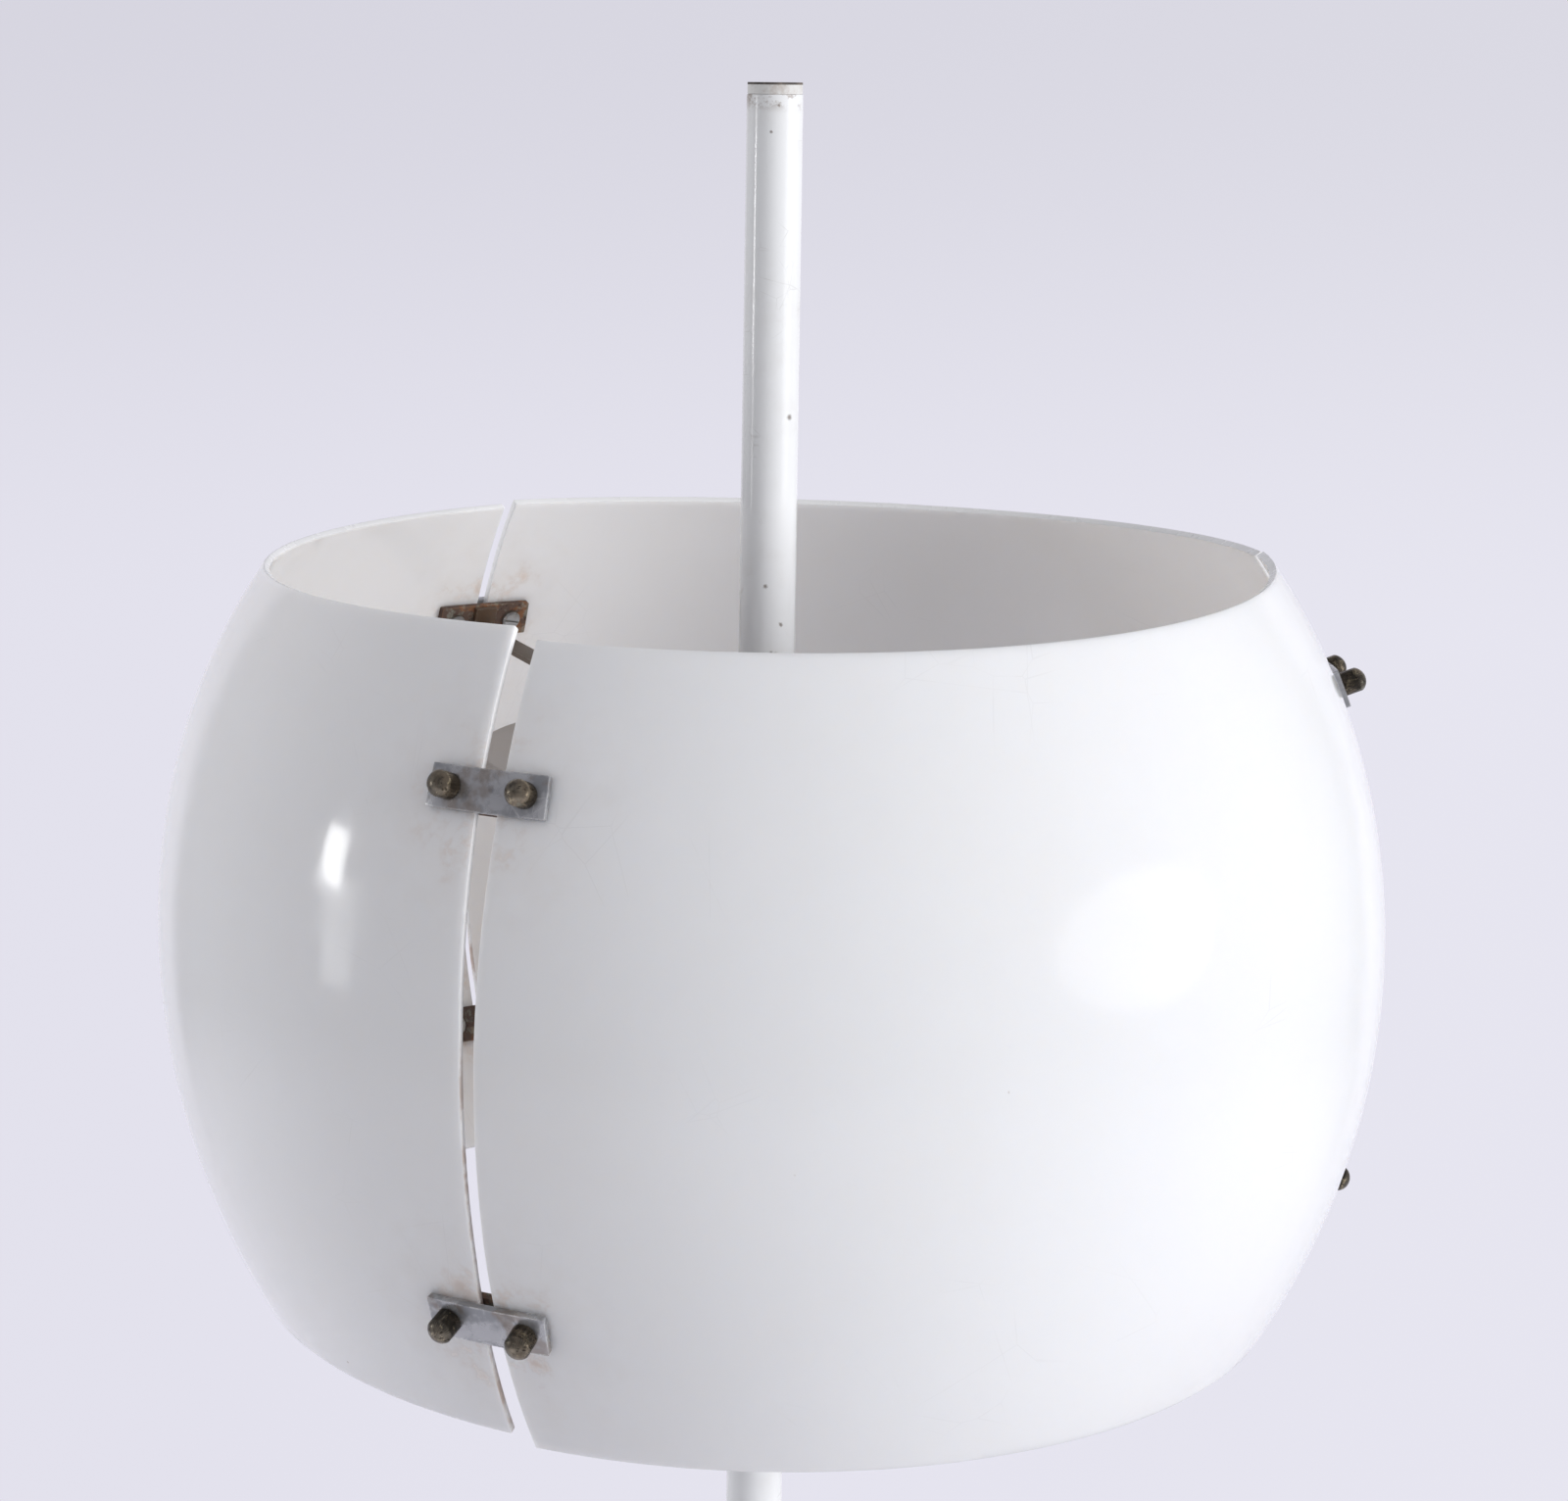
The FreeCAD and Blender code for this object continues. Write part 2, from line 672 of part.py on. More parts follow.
def make_link(heights, index, depth):
    # a plate rolled to the wall's circle: depth is where its inner face lies, out from the wall's outer face
    height = heights[joint_names[index]]
    lean = wall_lean(height)
    along = V(-math.sin(lean), 0, math.cos(lean)) * (link_height / 2)
    through = V(math.cos(lean), 0, math.sin(lean)) * link_thickness
    inner = wall_point(height, depth)
    outline = Part.makePolygon([inner - along, inner - along + through, inner + along + through,
                                inner + along, inner - along])
    spread = math.degrees(link_width / inner.x)
    plate = Part.Face(outline).revolve(V(0, 0, 0), up, spread)
    corners = edges_near(plate, lambda edge: abs(edge.Length - link_thickness) < 0.01)
    plate = plate.makeFillet(link_corner_round, corners)
    plate = lift(turn(plate, joint_angle(index) - spread / 2), shade_middle_height)
    return drilled(plate, [bolt_place(heights, index, side) for side in (-1, 1)])


def make_bolt(height, angle, slot_angle):
    # the head is inside the shade, and the shank goes out through wall and links into the nut
    seat = inner_link_depth(height) - seat_gap
    bolt = screw_shape(link_head_radius, link_head_height, link_head_bevel, link_bolt_radius,
                       seat - link_thickness - nut_grip)
    bolt = bolt.cut(turn(screwdriver_slot(link_head_radius, link_head_height), slot_angle))
    bolt.rotate(V(0, 0, 0), V(1, 0, 0), 180)
    return stand_on_wall(lift(bolt, seat), height, angle)


def make_nut(height, angle):
    # bullet nut: a short cylinder with a round nose
    bore = link_bolt_radius + thread_gap
    bore_end = link_thickness + nut_grip + thread_end_gap
    shoulder = link_thickness + nut_length - nut_radius
    slant = nut_radius * math.sqrt(0.5)
    nose = Part.Arc(V(nut_radius, 0, shoulder), V(slant, 0, shoulder + slant), V(0, 0, shoulder + nut_radius))
    rest = Part.makePolygon([V(0, 0, shoulder + nut_radius), V(0, 0, bore_end), V(bore, 0, bore_end),
                             V(bore, 0, link_thickness), V(nut_radius, 0, link_thickness),
                             V(nut_radius, 0, shoulder)])
    body = Part.Face(Part.Wire([nose.toShape()] + rest.Edges)).revolve(V(0, 0, 0), up, 360)
    return stand_on_wall(body, height, angle)


# ---- arms, disc and hub ----
def offset_points(points, distance):
    # points moved to the right of the path by a distance, mitred at each bend
    moved = []
    for index, point in enumerate(points):
        normals = []
        if index > 0:
            step = point - points[index - 1]
            normals.append(V(step.z, 0, -step.x).normalize())
        if index < len(points) - 1:
            step = points[index + 1] - point
            normals.append(V(step.z, 0, -step.x).normalize())
        total = normals[0] + normals[-1]
        moved.append(point + total * (2 * distance / total.dot(total)))
    return moved


def make_arm(index):
    # a flat strap: seated on the inner link, bent in and down, and screwed to the lamp disc
    height = upper_link_height[joint_names[index]]
    lean = wall_lean(height)
    along = V(-math.sin(lean), 0, math.cos(lean))
    seat = wall_point(height, inner_link_depth(height) - arm_seat_gap)
    foot_end = disc_radius - arm_foot_outer
    points = [seat + along * arm_seat_up, seat - along * arm_seat_down,
              V(foot_end, 0, disc_height), V(foot_end - arm_foot_length, 0, disc_height)]
    other = offset_points(points, arm_thickness)
    outline = Part.makePolygon(points + other[::-1] + [points[0]])
    strap = Part.Face(outline).extrude(V(0, arm_width, 0))
    strap.translate(V(0, -arm_width / 2, 0))
    bends = points[1:3] + other[1:3]
    chosen = edges_near(strap, lambda edge: any(
        abs(edge.CenterOfMass.x - bend.x) < 0.1 and abs(edge.CenterOfMass.z - bend.z) < 0.1
        for bend in bends))
    strap = strap.makeFillet(arm_bend_round, chosen)
    hole = cylinder(arm_screw_radius + screw_gap, disc_height - cut_over,
                    disc_height + arm_thickness + cut_over)
    hole.translate(V(arm_screw_circle(), 0, 0))
    return lift(turn(strap.cut(hole), joint_angle(index)), shade_middle_height)


def arm_screw_circle():
    return disc_radius - arm_foot_outer - arm_foot_length / 2


def arm_screws_and_nuts():
    screws = []
    nuts = []
    arm_top = disc_top + arm_thickness
    grip = arm_thickness + disc_thickness + arm_nut_height + arm_screw_end
    screw = lift(screw_shape(arm_screw_head_radius, arm_screw_head_height, arm_screw_head_bevel,
                             arm_screw_radius, -grip), arm_top)
    nut = lift(hexagon(2 * arm_nut_radius, arm_nut_height), disc_bottom - arm_nut_height)
    nut = nut.cut(cylinder(arm_screw_radius + thread_gap, 0, disc_bottom + 1))
    for index in range(panel_count):
        screws.append(around(screw, arm_screw_circle(), joint_angle(index)))
        nuts.append(around(nut, arm_screw_circle(), joint_angle(index)))
    return screws, nuts


def make_disc():
    bore = pole_radius + disc_bore_gap
    outer = disc_radius
    inner = disc_radius - disc_thickness
    low = disc_bottom - disc_lip
    disc = turned([(bore, disc_bottom), (inner, disc_bottom), (inner, low), (outer, low),
                   (outer, disc_top), (bore, disc_top)])
    disc = rounded_rings(disc, disc_round, [(outer, disc_top)])
    span = (disc_bottom - cut_over, disc_top + cut_over)
    for index in range(panel_count):
        between = joint_angle(index) + sector / 2
        disc = disc.cut(around(cylinder(nipple_radius + screw_gap, *span), holder_circle, between))
        disc = disc.cut(around(cylinder(arm_screw_radius + screw_gap, *span), arm_screw_circle(),
                               joint_angle(index)))
        disc = disc.cut(around(cylinder(hub_screw_radius + screw_gap, *span), hub_screw_circle,
                               joint_angle(index)))
    wire_hole = around(cylinder(disc_wire_hole_radius, *span), disc_wire_hole_circle,
                       first_joint_angle + sector / 2)
    return disc.cut(wire_hole)


def make_hub():
    flange_bottom = hub_top - hub_flange_thickness
    body = turned([(0, hub_bottom), (hub_neck_radius, hub_bottom), (hub_neck_radius, flange_bottom),
                   (hub_flange_radius, flange_bottom), (hub_flange_radius, hub_top), (0, hub_top)])
    body = rounded_rings(body, hub_neck_round, [(hub_neck_radius, flange_bottom)])
    body = bevelled_rings(body, hub_edge_bevel, [(hub_flange_radius, flange_bottom)])
    body = body.cut(cylinder(pole_radius + running_gap, hub_bottom - 1, hub_top + 1))
    thread = cylinder(hub_screw_radius + thread_gap, hub_top - hub_screw_grip, hub_top + 1)
    for index in range(panel_count):
        body = body.cut(around(thread, hub_screw_circle, joint_angle(index)))
    return body


def make_hub_screws():
    grip = disc_thickness + hub_screw_grip - thread_end_gap
    screw = lift(screw_shape(hub_screw_head_radius, hub_screw_head_height, hub_screw_head_bevel,
                             hub_screw_radius, -grip), disc_top)
    return [around(screw, hub_screw_circle, joint_angle(index)) for index in range(panel_count)]


# ---- lampholders and bulbs ----
def holder_angle(index):
    return joint_angle(index) + sector / 2


def make_holder(index):
    low = disc_bottom - holder_length
    shoulder = disc_bottom - holder_shoulder_height
    mouth = low + holder_mouth_depth
    body = turned([(0, disc_bottom), (holder_shoulder_radius, disc_bottom), (holder_radius, shoulder),
                   (holder_radius, low), (holder_mouth_radius, low), (holder_mouth_radius, mouth),
                   (0, mouth)])
    nipple = cylinder(nipple_radius, disc_bottom, disc_top + nipple_height)
    body = body.fuse(nipple).removeSplitter()
    body = body.cut(cylinder(nipple_radius - nipple_wall, disc_bottom - nipple_wire_depth,
                             disc_top + nipple_height + cut_over))
    return around(body, holder_circle, holder_angle(index))


def make_holder_nuts():
    nut = lift(hexagon(holder_nut_across, holder_nut_height), disc_top)
    nut = nut.cut(cylinder(nipple_radius + thread_gap, disc_top - 1, disc_top + holder_nut_height + 1))
    return [around(nut, holder_circle, holder_angle(index)) for index in range(panel_count)]


def make_bulb(index):
    # round glass with a neck, hanging under its cap
    cap_bottom = bulb_cap_top() - bulb_cap_length
    tip = cap_bottom - bulb_length
    ball = tip + bulb_radius
    meet = math.sqrt(bulb_radius ** 2 - bulb_shoulder_radius ** 2)
    start = V(0, 0, cap_bottom)
    neck = V(bulb_neck_radius, 0, cap_bottom)
    shoulder = V(bulb_shoulder_radius, 0, ball + meet)
    side = V(bulb_radius, 0, ball)
    low = V(bulb_radius * math.sin(math.pi / 4), 0, ball - bulb_radius * math.cos(math.pi / 4))
    end = V(0, 0, tip)
    rise = V(bulb_radius * math.cos(math.pi / 8), 0, ball + bulb_radius * math.sin(math.pi / 8))
    waist = V(bulb_neck_radius + bulb_neck_flare, 0, (cap_bottom + shoulder.z) / 2 + bulb_neck_flare)
    edges = [Part.LineSegment(start, neck).toShape(), Part.Arc(neck, waist, shoulder).toShape(),
             Part.Arc(shoulder, rise, side).toShape(), Part.Arc(side, low, end).toShape(),
             Part.LineSegment(end, start).toShape()]
    glass = Part.Face(Part.Wire(edges)).revolve(V(0, 0, 0), up, 360)
    return around(glass, holder_circle, holder_angle(index))


def bulb_cap_top():
    return disc_bottom - holder_length + holder_mouth_depth - bulb_cap_gap


def make_bulb_caps():
    top = bulb_cap_top()
    cap = turned([(0, top - bulb_cap_length), (bulb_cap_radius, top - bulb_cap_length),
                  (bulb_cap_radius, top - bulb_cap_shoulder), (bulb_cap_radius - bulb_cap_shoulder, top),
                  (0, top)])
    return [around(cap, holder_circle, holder_angle(index)) for index in range(panel_count)]


# ---- write every piece ----
save("foot_mat", make_mat())
save("foot_plate", make_foot())
save("cord_gland", make_gland())
save("pole_socket", make_socket())
save("socket_screws", *make_socket_screws())
save("socket_set_screw", make_set_screw())
save("lower_tube", make_lower_tube())
save("tube_guide", make_tube_guide())
save("switch_housing", make_switch_housing())
save("switch_button", make_switch_button())
save("height_collar", make_collar(collar_radius, lower_tube_radius + running_gap, collar_base_height,
                                  collar_height, height_knob_angle))
save("height_knob", make_knob(collar_radius, lower_tube_radius, collar_base_height + collar_height / 2,
                              height_knob_angle))
save("tension_spring", make_spring())
save("pole_tube", make_pole())
save("pole_guide", make_pole_guide())
save("top_plug", make_top_plug())
save("ceiling_pad", make_ceiling_pad())
save("shade_collar", make_collar(shade_collar_radius, pole_radius + running_gap,
                                 hub_bottom - shade_collar_height, shade_collar_height, shade_knob_angle))
save("shade_knob", make_knob(shade_collar_radius, pole_radius, hub_bottom - shade_collar_height / 2,
                             shade_knob_angle))
save("shade_hub", make_hub())
save("hub_screws", *make_hub_screws())
save("lamp_disc", make_disc())
disc_screws, disc_nuts = arm_screws_and_nuts()
save("arm_screws", *disc_screws)
save("arm_nuts", *disc_nuts)
for number in range(panel_count):
    save(panel_names[number], make_panel(number))
    save("arm_" + joint_names[number], make_arm(number))
    save("lampholder_" + str(number + 1), make_holder(number))
    save("bulb_" + str(number + 1), make_bulb(number))
    for level, heights in (("upper", upper_link_height), ("lower", lower_link_height)):
        save(level + "_outer_link_" + joint_names[number], make_link(heights, number, 0))
        save(level + "_inner_link_" + joint_names[number],
             make_link(heights, number, inner_link_depth(heights[joint_names[number]])))
save("holder_nuts", *make_holder_nuts())
save("bulb_caps", *make_bulb_caps())
for level, heights in (("upper", upper_link_height), ("lower", lower_link_height)):
    places = bolt_places(heights)
    bolts = [make_bolt(*place, slot_turn * number) for number, place in enumerate(places)]
    save(level + "_link_bolts", *bolts)
    save(level + "_link_nuts", *[make_nut(*place) for place in places])
print("pole top", round(ceiling_pad_top, 1), "mm above the floor")
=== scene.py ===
import bpy
import json
import math
from mathutils import Matrix, Vector


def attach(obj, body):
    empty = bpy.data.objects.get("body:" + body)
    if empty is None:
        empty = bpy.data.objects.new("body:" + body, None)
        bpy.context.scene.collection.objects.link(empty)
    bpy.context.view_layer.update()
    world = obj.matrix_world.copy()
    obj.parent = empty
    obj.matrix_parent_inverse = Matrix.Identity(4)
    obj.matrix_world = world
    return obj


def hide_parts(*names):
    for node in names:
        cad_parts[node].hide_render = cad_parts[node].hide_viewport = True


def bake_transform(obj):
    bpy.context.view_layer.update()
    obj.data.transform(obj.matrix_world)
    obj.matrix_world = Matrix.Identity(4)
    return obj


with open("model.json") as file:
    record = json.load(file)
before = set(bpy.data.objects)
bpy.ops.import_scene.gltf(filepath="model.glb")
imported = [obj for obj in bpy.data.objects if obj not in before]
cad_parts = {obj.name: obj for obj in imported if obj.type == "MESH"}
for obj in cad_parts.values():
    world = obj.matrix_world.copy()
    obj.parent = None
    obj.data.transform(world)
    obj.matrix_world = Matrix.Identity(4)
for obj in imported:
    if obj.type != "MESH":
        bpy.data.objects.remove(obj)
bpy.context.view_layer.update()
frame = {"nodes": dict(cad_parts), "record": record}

cadNodes = frame["nodes"]
bodyOf = {}
for bodyName, members in frame["record"]["behaviour"]["bodies"].items():
    for member in members:
        bodyOf[member] = bodyName
print("frame loaded,", len(cadNodes), "CAD nodes")

# sizes of the shade in metres, the same as in the part's source
shade = {
    "middleHeight": 1.380,
    "radius": 0.270,
    "upperArc": 0.2907,
    "lowerArc": 0.3134,
    "top": 0.1565,
    "bottom": 0.1675,
    "wall": 0.0035,
    "firstJoint": 5.5,
    "rimDip": 0.0031,
}


# small helpers
def deselectAll():
    if bpy.context.mode != "OBJECT":
        bpy.ops.object.mode_set(mode="OBJECT")
    bpy.ops.object.select_all(action="DESELECT")


def makeActive(piece):
    deselectAll()
    piece.select_set(True)
    bpy.context.view_layer.objects.active = piece


def settle(piece):
    # the piece's place goes into its mesh
    makeActive(piece)
    bpy.ops.object.transform_apply(location=True, rotation=True, scale=True)


def applyAll(piece):
    makeActive(piece)
    for modifier in list(piece.modifiers):
        bpy.ops.object.modifier_apply(modifier=modifier.name)


def smooth(piece, degrees=35):
    makeActive(piece)
    bpy.ops.object.shade_smooth_by_angle(angle=math.radians(degrees))


def radiusAt(height):
    arc = shade["upperArc"] if height >= 0 else shade["lowerArc"]
    return shade["radius"] - arc + math.sqrt(arc ** 2 - height ** 2)


def wallPlace(height, degrees):
    # a point on the shade's outer face
    r = radiusAt(height)
    a = math.radians(degrees)
    return Vector((r * math.cos(a), r * math.sin(a), shade["middleHeight"] + height))


# node groups for effects that several finishes use
def newGroup(name, inputs, outputs):
    group = bpy.data.node_groups.new(name, "ShaderNodeTree")
    for label, kind, value in inputs:
        socket = group.interface.new_socket(name=label, in_out="INPUT", socket_type=kind)
        socket.default_value = value
    for label, kind in outputs:
        group.interface.new_socket(name=label, in_out="OUTPUT", socket_type=kind)
    start = group.nodes.new("NodeGroupInput")
    end = group.nodes.new("NodeGroupOutput")
    return group, start, end


def addNode(tree, kind, **values):
    node = tree.nodes.new(kind)
    for key, value in values.items():
        setattr(node, key, value)
    return node


def mathNode(tree, operation, first, second=None, clamp=False):
    node = addNode(tree, "ShaderNodeMath", operation=operation, use_clamp=clamp)
    for index, value in enumerate((first, second)):
        if value is None:
            continue
        if isinstance(value, (int, float)):
            node.inputs[index].default_value = value
        else:
            tree.links.new(value, node.inputs[index])
    return node.outputs[0]


def remap(tree, value, low, high, toLow=0.0, toHigh=1.0):
    node = addNode(tree, "ShaderNodeMapRange", interpolation_type="SMOOTHSTEP")
    tree.links.new(value, node.inputs["Value"])
    ends = (("From Min", low), ("From Max", high), ("To Min", toLow), ("To Max", toHigh))
    for label, number in ends:
        if isinstance(number, (int, float)):
            node.inputs[label].default_value = number
        else:
            tree.links.new(number, node.inputs[label])
    return node.outputs["Result"]


def makeEdgeWear():
    # mask of the worn outer edges, broken up by noise
    inputs = [
        ("Reach", "NodeSocketFloat", 0.0008),
        ("Scale", "NodeSocketFloat", 300.0),
        ("Amount", "NodeSocketFloat", 0.5),
    ]
    tree, start, end = newGroup("edgeWear", inputs, [("Mask", "NodeSocketFloat")])
    rounded = addNode(tree, "ShaderNodeBevel", samples=4)
    tree.links.new(start.outputs["Reach"], rounded.inputs["Radius"])
    geometry = addNode(tree, "ShaderNodeNewGeometry")
    dot = addNode(tree, "ShaderNodeVectorMath", operation="DOT_PRODUCT")
    tree.links.new(rounded.outputs["Normal"], dot.inputs[0])
    tree.links.new(geometry.outputs["Normal"], dot.inputs[1])
    edge = remap(tree, dot.outputs["Value"], 0.99, 0.86)
    place = addNode(tree, "ShaderNodeTexCoord")
    noise = addNode(tree, "ShaderNodeTexNoise")
    tree.links.new(place.outputs["Object"], noise.inputs["Vector"])
    tree.links.new(start.outputs["Scale"], noise.inputs["Scale"])
    noise.inputs["Detail"].default_value = 5
    broken = remap(tree, noise.outputs["Fac"], 0.35, 0.62)
    both = mathNode(tree, "MULTIPLY", edge, broken)
    mask = mathNode(tree, "MULTIPLY", both, start.outputs["Amount"], True)
    tree.links.new(mask, end.inputs["Mask"])
    return tree


def makeGrime():
    # cloudy mask at two scales, for dirt, tarnish and uneven colour
    inputs = [
        ("Scale", "NodeSocketFloat", 20.0),
        ("Low", "NodeSocketFloat", 0.4),
        ("High", "NodeSocketFloat", 0.7),
    ]
    tree, start, end = newGroup("grime", inputs, [("Mask", "NodeSocketFloat")])
    place = addNode(tree, "ShaderNodeTexCoord")
    coarse = addNode(tree, "ShaderNodeTexNoise")
    coarse.inputs["Detail"].default_value = 6
    coarse.inputs["Distortion"].default_value = 0.4
    fine = addNode(tree, "ShaderNodeTexNoise")
    fine.inputs["Detail"].default_value = 4
    for noise in (coarse, fine):
        tree.links.new(place.outputs["Object"], noise.inputs["Vector"])
    tree.links.new(start.outputs["Scale"], coarse.inputs["Scale"])
    finer = mathNode(tree, "MULTIPLY", start.outputs["Scale"], 6.0)
    tree.links.new(finer, fine.inputs["Scale"])
    mostly = mathNode(tree, "MULTIPLY", coarse.outputs["Fac"], 0.7)
    partly = mathNode(tree, "MULTIPLY", fine.outputs["Fac"], 0.3)
    blend = mathNode(tree, "ADD", mostly, partly)
    mask = remap(tree, blend, start.outputs["Low"], start.outputs["High"])
    tree.links.new(mask, end.inputs["Mask"])
    return tree


def makeScratches():
    # thin random lines: the edges of stretched and twisted cells
    inputs = [
        ("Scale", "NodeSocketFloat", 40.0),
        ("Width", "NodeSocketFloat", 0.01),
        ("Amount", "NodeSocketFloat", 0.5),
    ]
    tree, start, end = newGroup("scratches", inputs, [("Mask", "NodeSocketFloat")])
    place = addNode(tree, "ShaderNodeTexCoord")
    total = None
    for turn, stretch in ((0.5, 0.16), (1.9, 0.22)):
        mapping = addNode(tree, "ShaderNodeMapping")
        mapping.inputs["Rotation"].default_value = (turn, turn * 0.6, turn * 1.3)
        mapping.inputs["Scale"].default_value = (1.0, stretch, 1.0)
        tree.links.new(place.outputs["Object"], mapping.inputs["Vector"])
        cells = addNode(tree, "ShaderNodeTexVoronoi", feature="DISTANCE_TO_EDGE")
        tree.links.new(mapping.outputs["Vector"], cells.inputs["Vector"])
        tree.links.new(start.outputs["Scale"], cells.inputs["Scale"])
        line = remap(tree, cells.outputs["Distance"], start.outputs["Width"], 0.0)
        total = line if total is None else mathNode(tree, "MAXIMUM", total, line)
    patches = addNode(tree, "ShaderNodeTexNoise")
    tree.links.new(place.outputs["Object"], patches.inputs["Vector"])
    tree.links.new(mathNode(tree, "MULTIPLY", start.outputs["Scale"], 0.7), patches.inputs["Scale"])
    patches.inputs["Detail"].default_value = 3
    here = remap(tree, patches.outputs["Fac"], 0.56, 0.70)
    broken = mathNode(tree, "MULTIPLY", total, here)
    mask = mathNode(tree, "MULTIPLY", broken, start.outputs["Amount"], True)
    tree.links.new(mask, end.inputs["Mask"])
    return tree


def makeStain():
    # soft uneven spot round one place
    inputs = [
        ("Centre", "NodeSocketVector", (0, 0, 0)),
        ("Inner", "NodeSocketFloat", 0.02),
        ("Outer", "NodeSocketFloat", 0.05),
    ]
    tree, start, end = newGroup("stain", inputs, [("Mask", "NodeSocketFloat")])
    place = addNode(tree, "ShaderNodeTexCoord")
    noise = addNode(tree, "ShaderNodeTexNoise")
    noise.inputs["Scale"].default_value = 70
    noise.inputs["Detail"].default_value = 6
    tree.links.new(place.outputs["Object"], noise.inputs["Vector"])
    away = addNode(tree, "ShaderNodeVectorMath", operation="DISTANCE")
    tree.links.new(place.outputs["Object"], away.inputs[0])
    tree.links.new(start.outputs["Centre"], away.inputs[1])
    shift = mathNode(tree, "MULTIPLY", mathNode(tree, "SUBTRACT", noise.outputs["Fac"], 0.5), 0.07)
    reach = mathNode(tree, "ADD", away.outputs["Value"], shift)
    mask = remap(tree, reach, start.outputs["Outer"], start.outputs["Inner"])
    tree.links.new(mask, end.inputs["Mask"])
    return tree


groups = {
    "edgeWear": makeEdgeWear(),
    "grime": makeGrime(),
    "scratches": makeScratches(),
    "stain": makeStain(),
}
print("node groups made")


# camera, backdrop and floor
studio = {
    "cameraPlace": (0.0, -1.5752, 1.7555),
    "pitchDown": 0.0555,
    "yaw": -0.0851,
    "roll": 0.0104,
    "lens": 81.39,
    "shift": (0.1999, -0.3125),
    "backLeft": (0.768, 0.757, 0.845),
    "backRight": (0.795, 0.786, 0.871),
    "backTop": 0.885,             # the backdrop's strength at its top
    "sideFade": (-0.22, 0.22),    # the fades are in directions from the camera
    "topFade": (0.02, -0.16),
    "behindFade": (0.70, 0.80),
    "belowFade": (-0.15, -0.45),
    "wobbleScale": 2.0,
    "wobble": 0.25,
    "frontDim": 0.42,             # what gloss sees on the camera's side
    "skyColour": (0.97, 0.97, 1.0),
    "skyLight": 0.46,
    "floorColour": (0.74, 0.73, 0.80),
    "floorRadius": 3.0,
    "floorFade": (1.0, 2.1),
    "aimHeight": 1.30,
}

# area lamps: a big key and a fill that gloss doesn't see, and small ones for the highlights
lamps = {
    "keyPanel": {"place": (5.0, -2.75, 2.50), "size": (3.8, 3.4), "power": 345, "glossy": False},
    "fillPanel": {"place": (-2.45, 0.90, 1.15), "size": (1.4, 1.6), "power": 26, "glossy": False},
    "sparkPanel": {"place": (-2.06, -0.35, 1.60), "size": (0.19, 0.27), "power": 1.9},
    "tailPanel": {"place": (-2.06, -0.47, 1.28), "size": (0.24, 0.50), "power": 1.0},
    "shinePanel": {"place": (2.86, -1.20, 1.45), "size": (1.9, 1.0), "power": 6.5, "diffuse": False,
                   "shape": "ELLIPSE"},
}


def lookAlong(pitch, yaw, roll):
    flat = math.cos(pitch)
    forward = Vector((math.sin(yaw) * flat, math.cos(yaw) * flat, -math.sin(pitch)))
    level = Vector((math.cos(yaw), -math.sin(yaw), 0))
    above = level.cross(forward)
    across = level * math.cos(roll) + above * math.sin(roll)
    upright = above * math.cos(roll) - level * math.sin(roll)
    return Matrix((across, upright, -forward)).transposed().to_4x4()


def addCamera():
    s = studio
    camera = bpy.data.objects.new("photoCamera", bpy.data.cameras.new("photoCamera"))
    bpy.context.scene.collection.objects.link(camera)
    turn = lookAlong(s["pitchDown"], s["yaw"], s["roll"])
    camera.matrix_world = Matrix.Translation(s["cameraPlace"]) @ turn
    camera.data.sensor_fit = "HORIZONTAL"
    camera.data.sensor_width = 36
    camera.data.lens = s["lens"]
    camera.data.shift_x, camera.data.shift_y = s["shift"]
    camera.data.clip_start = 0.05
    bpy.context.scene.camera = camera


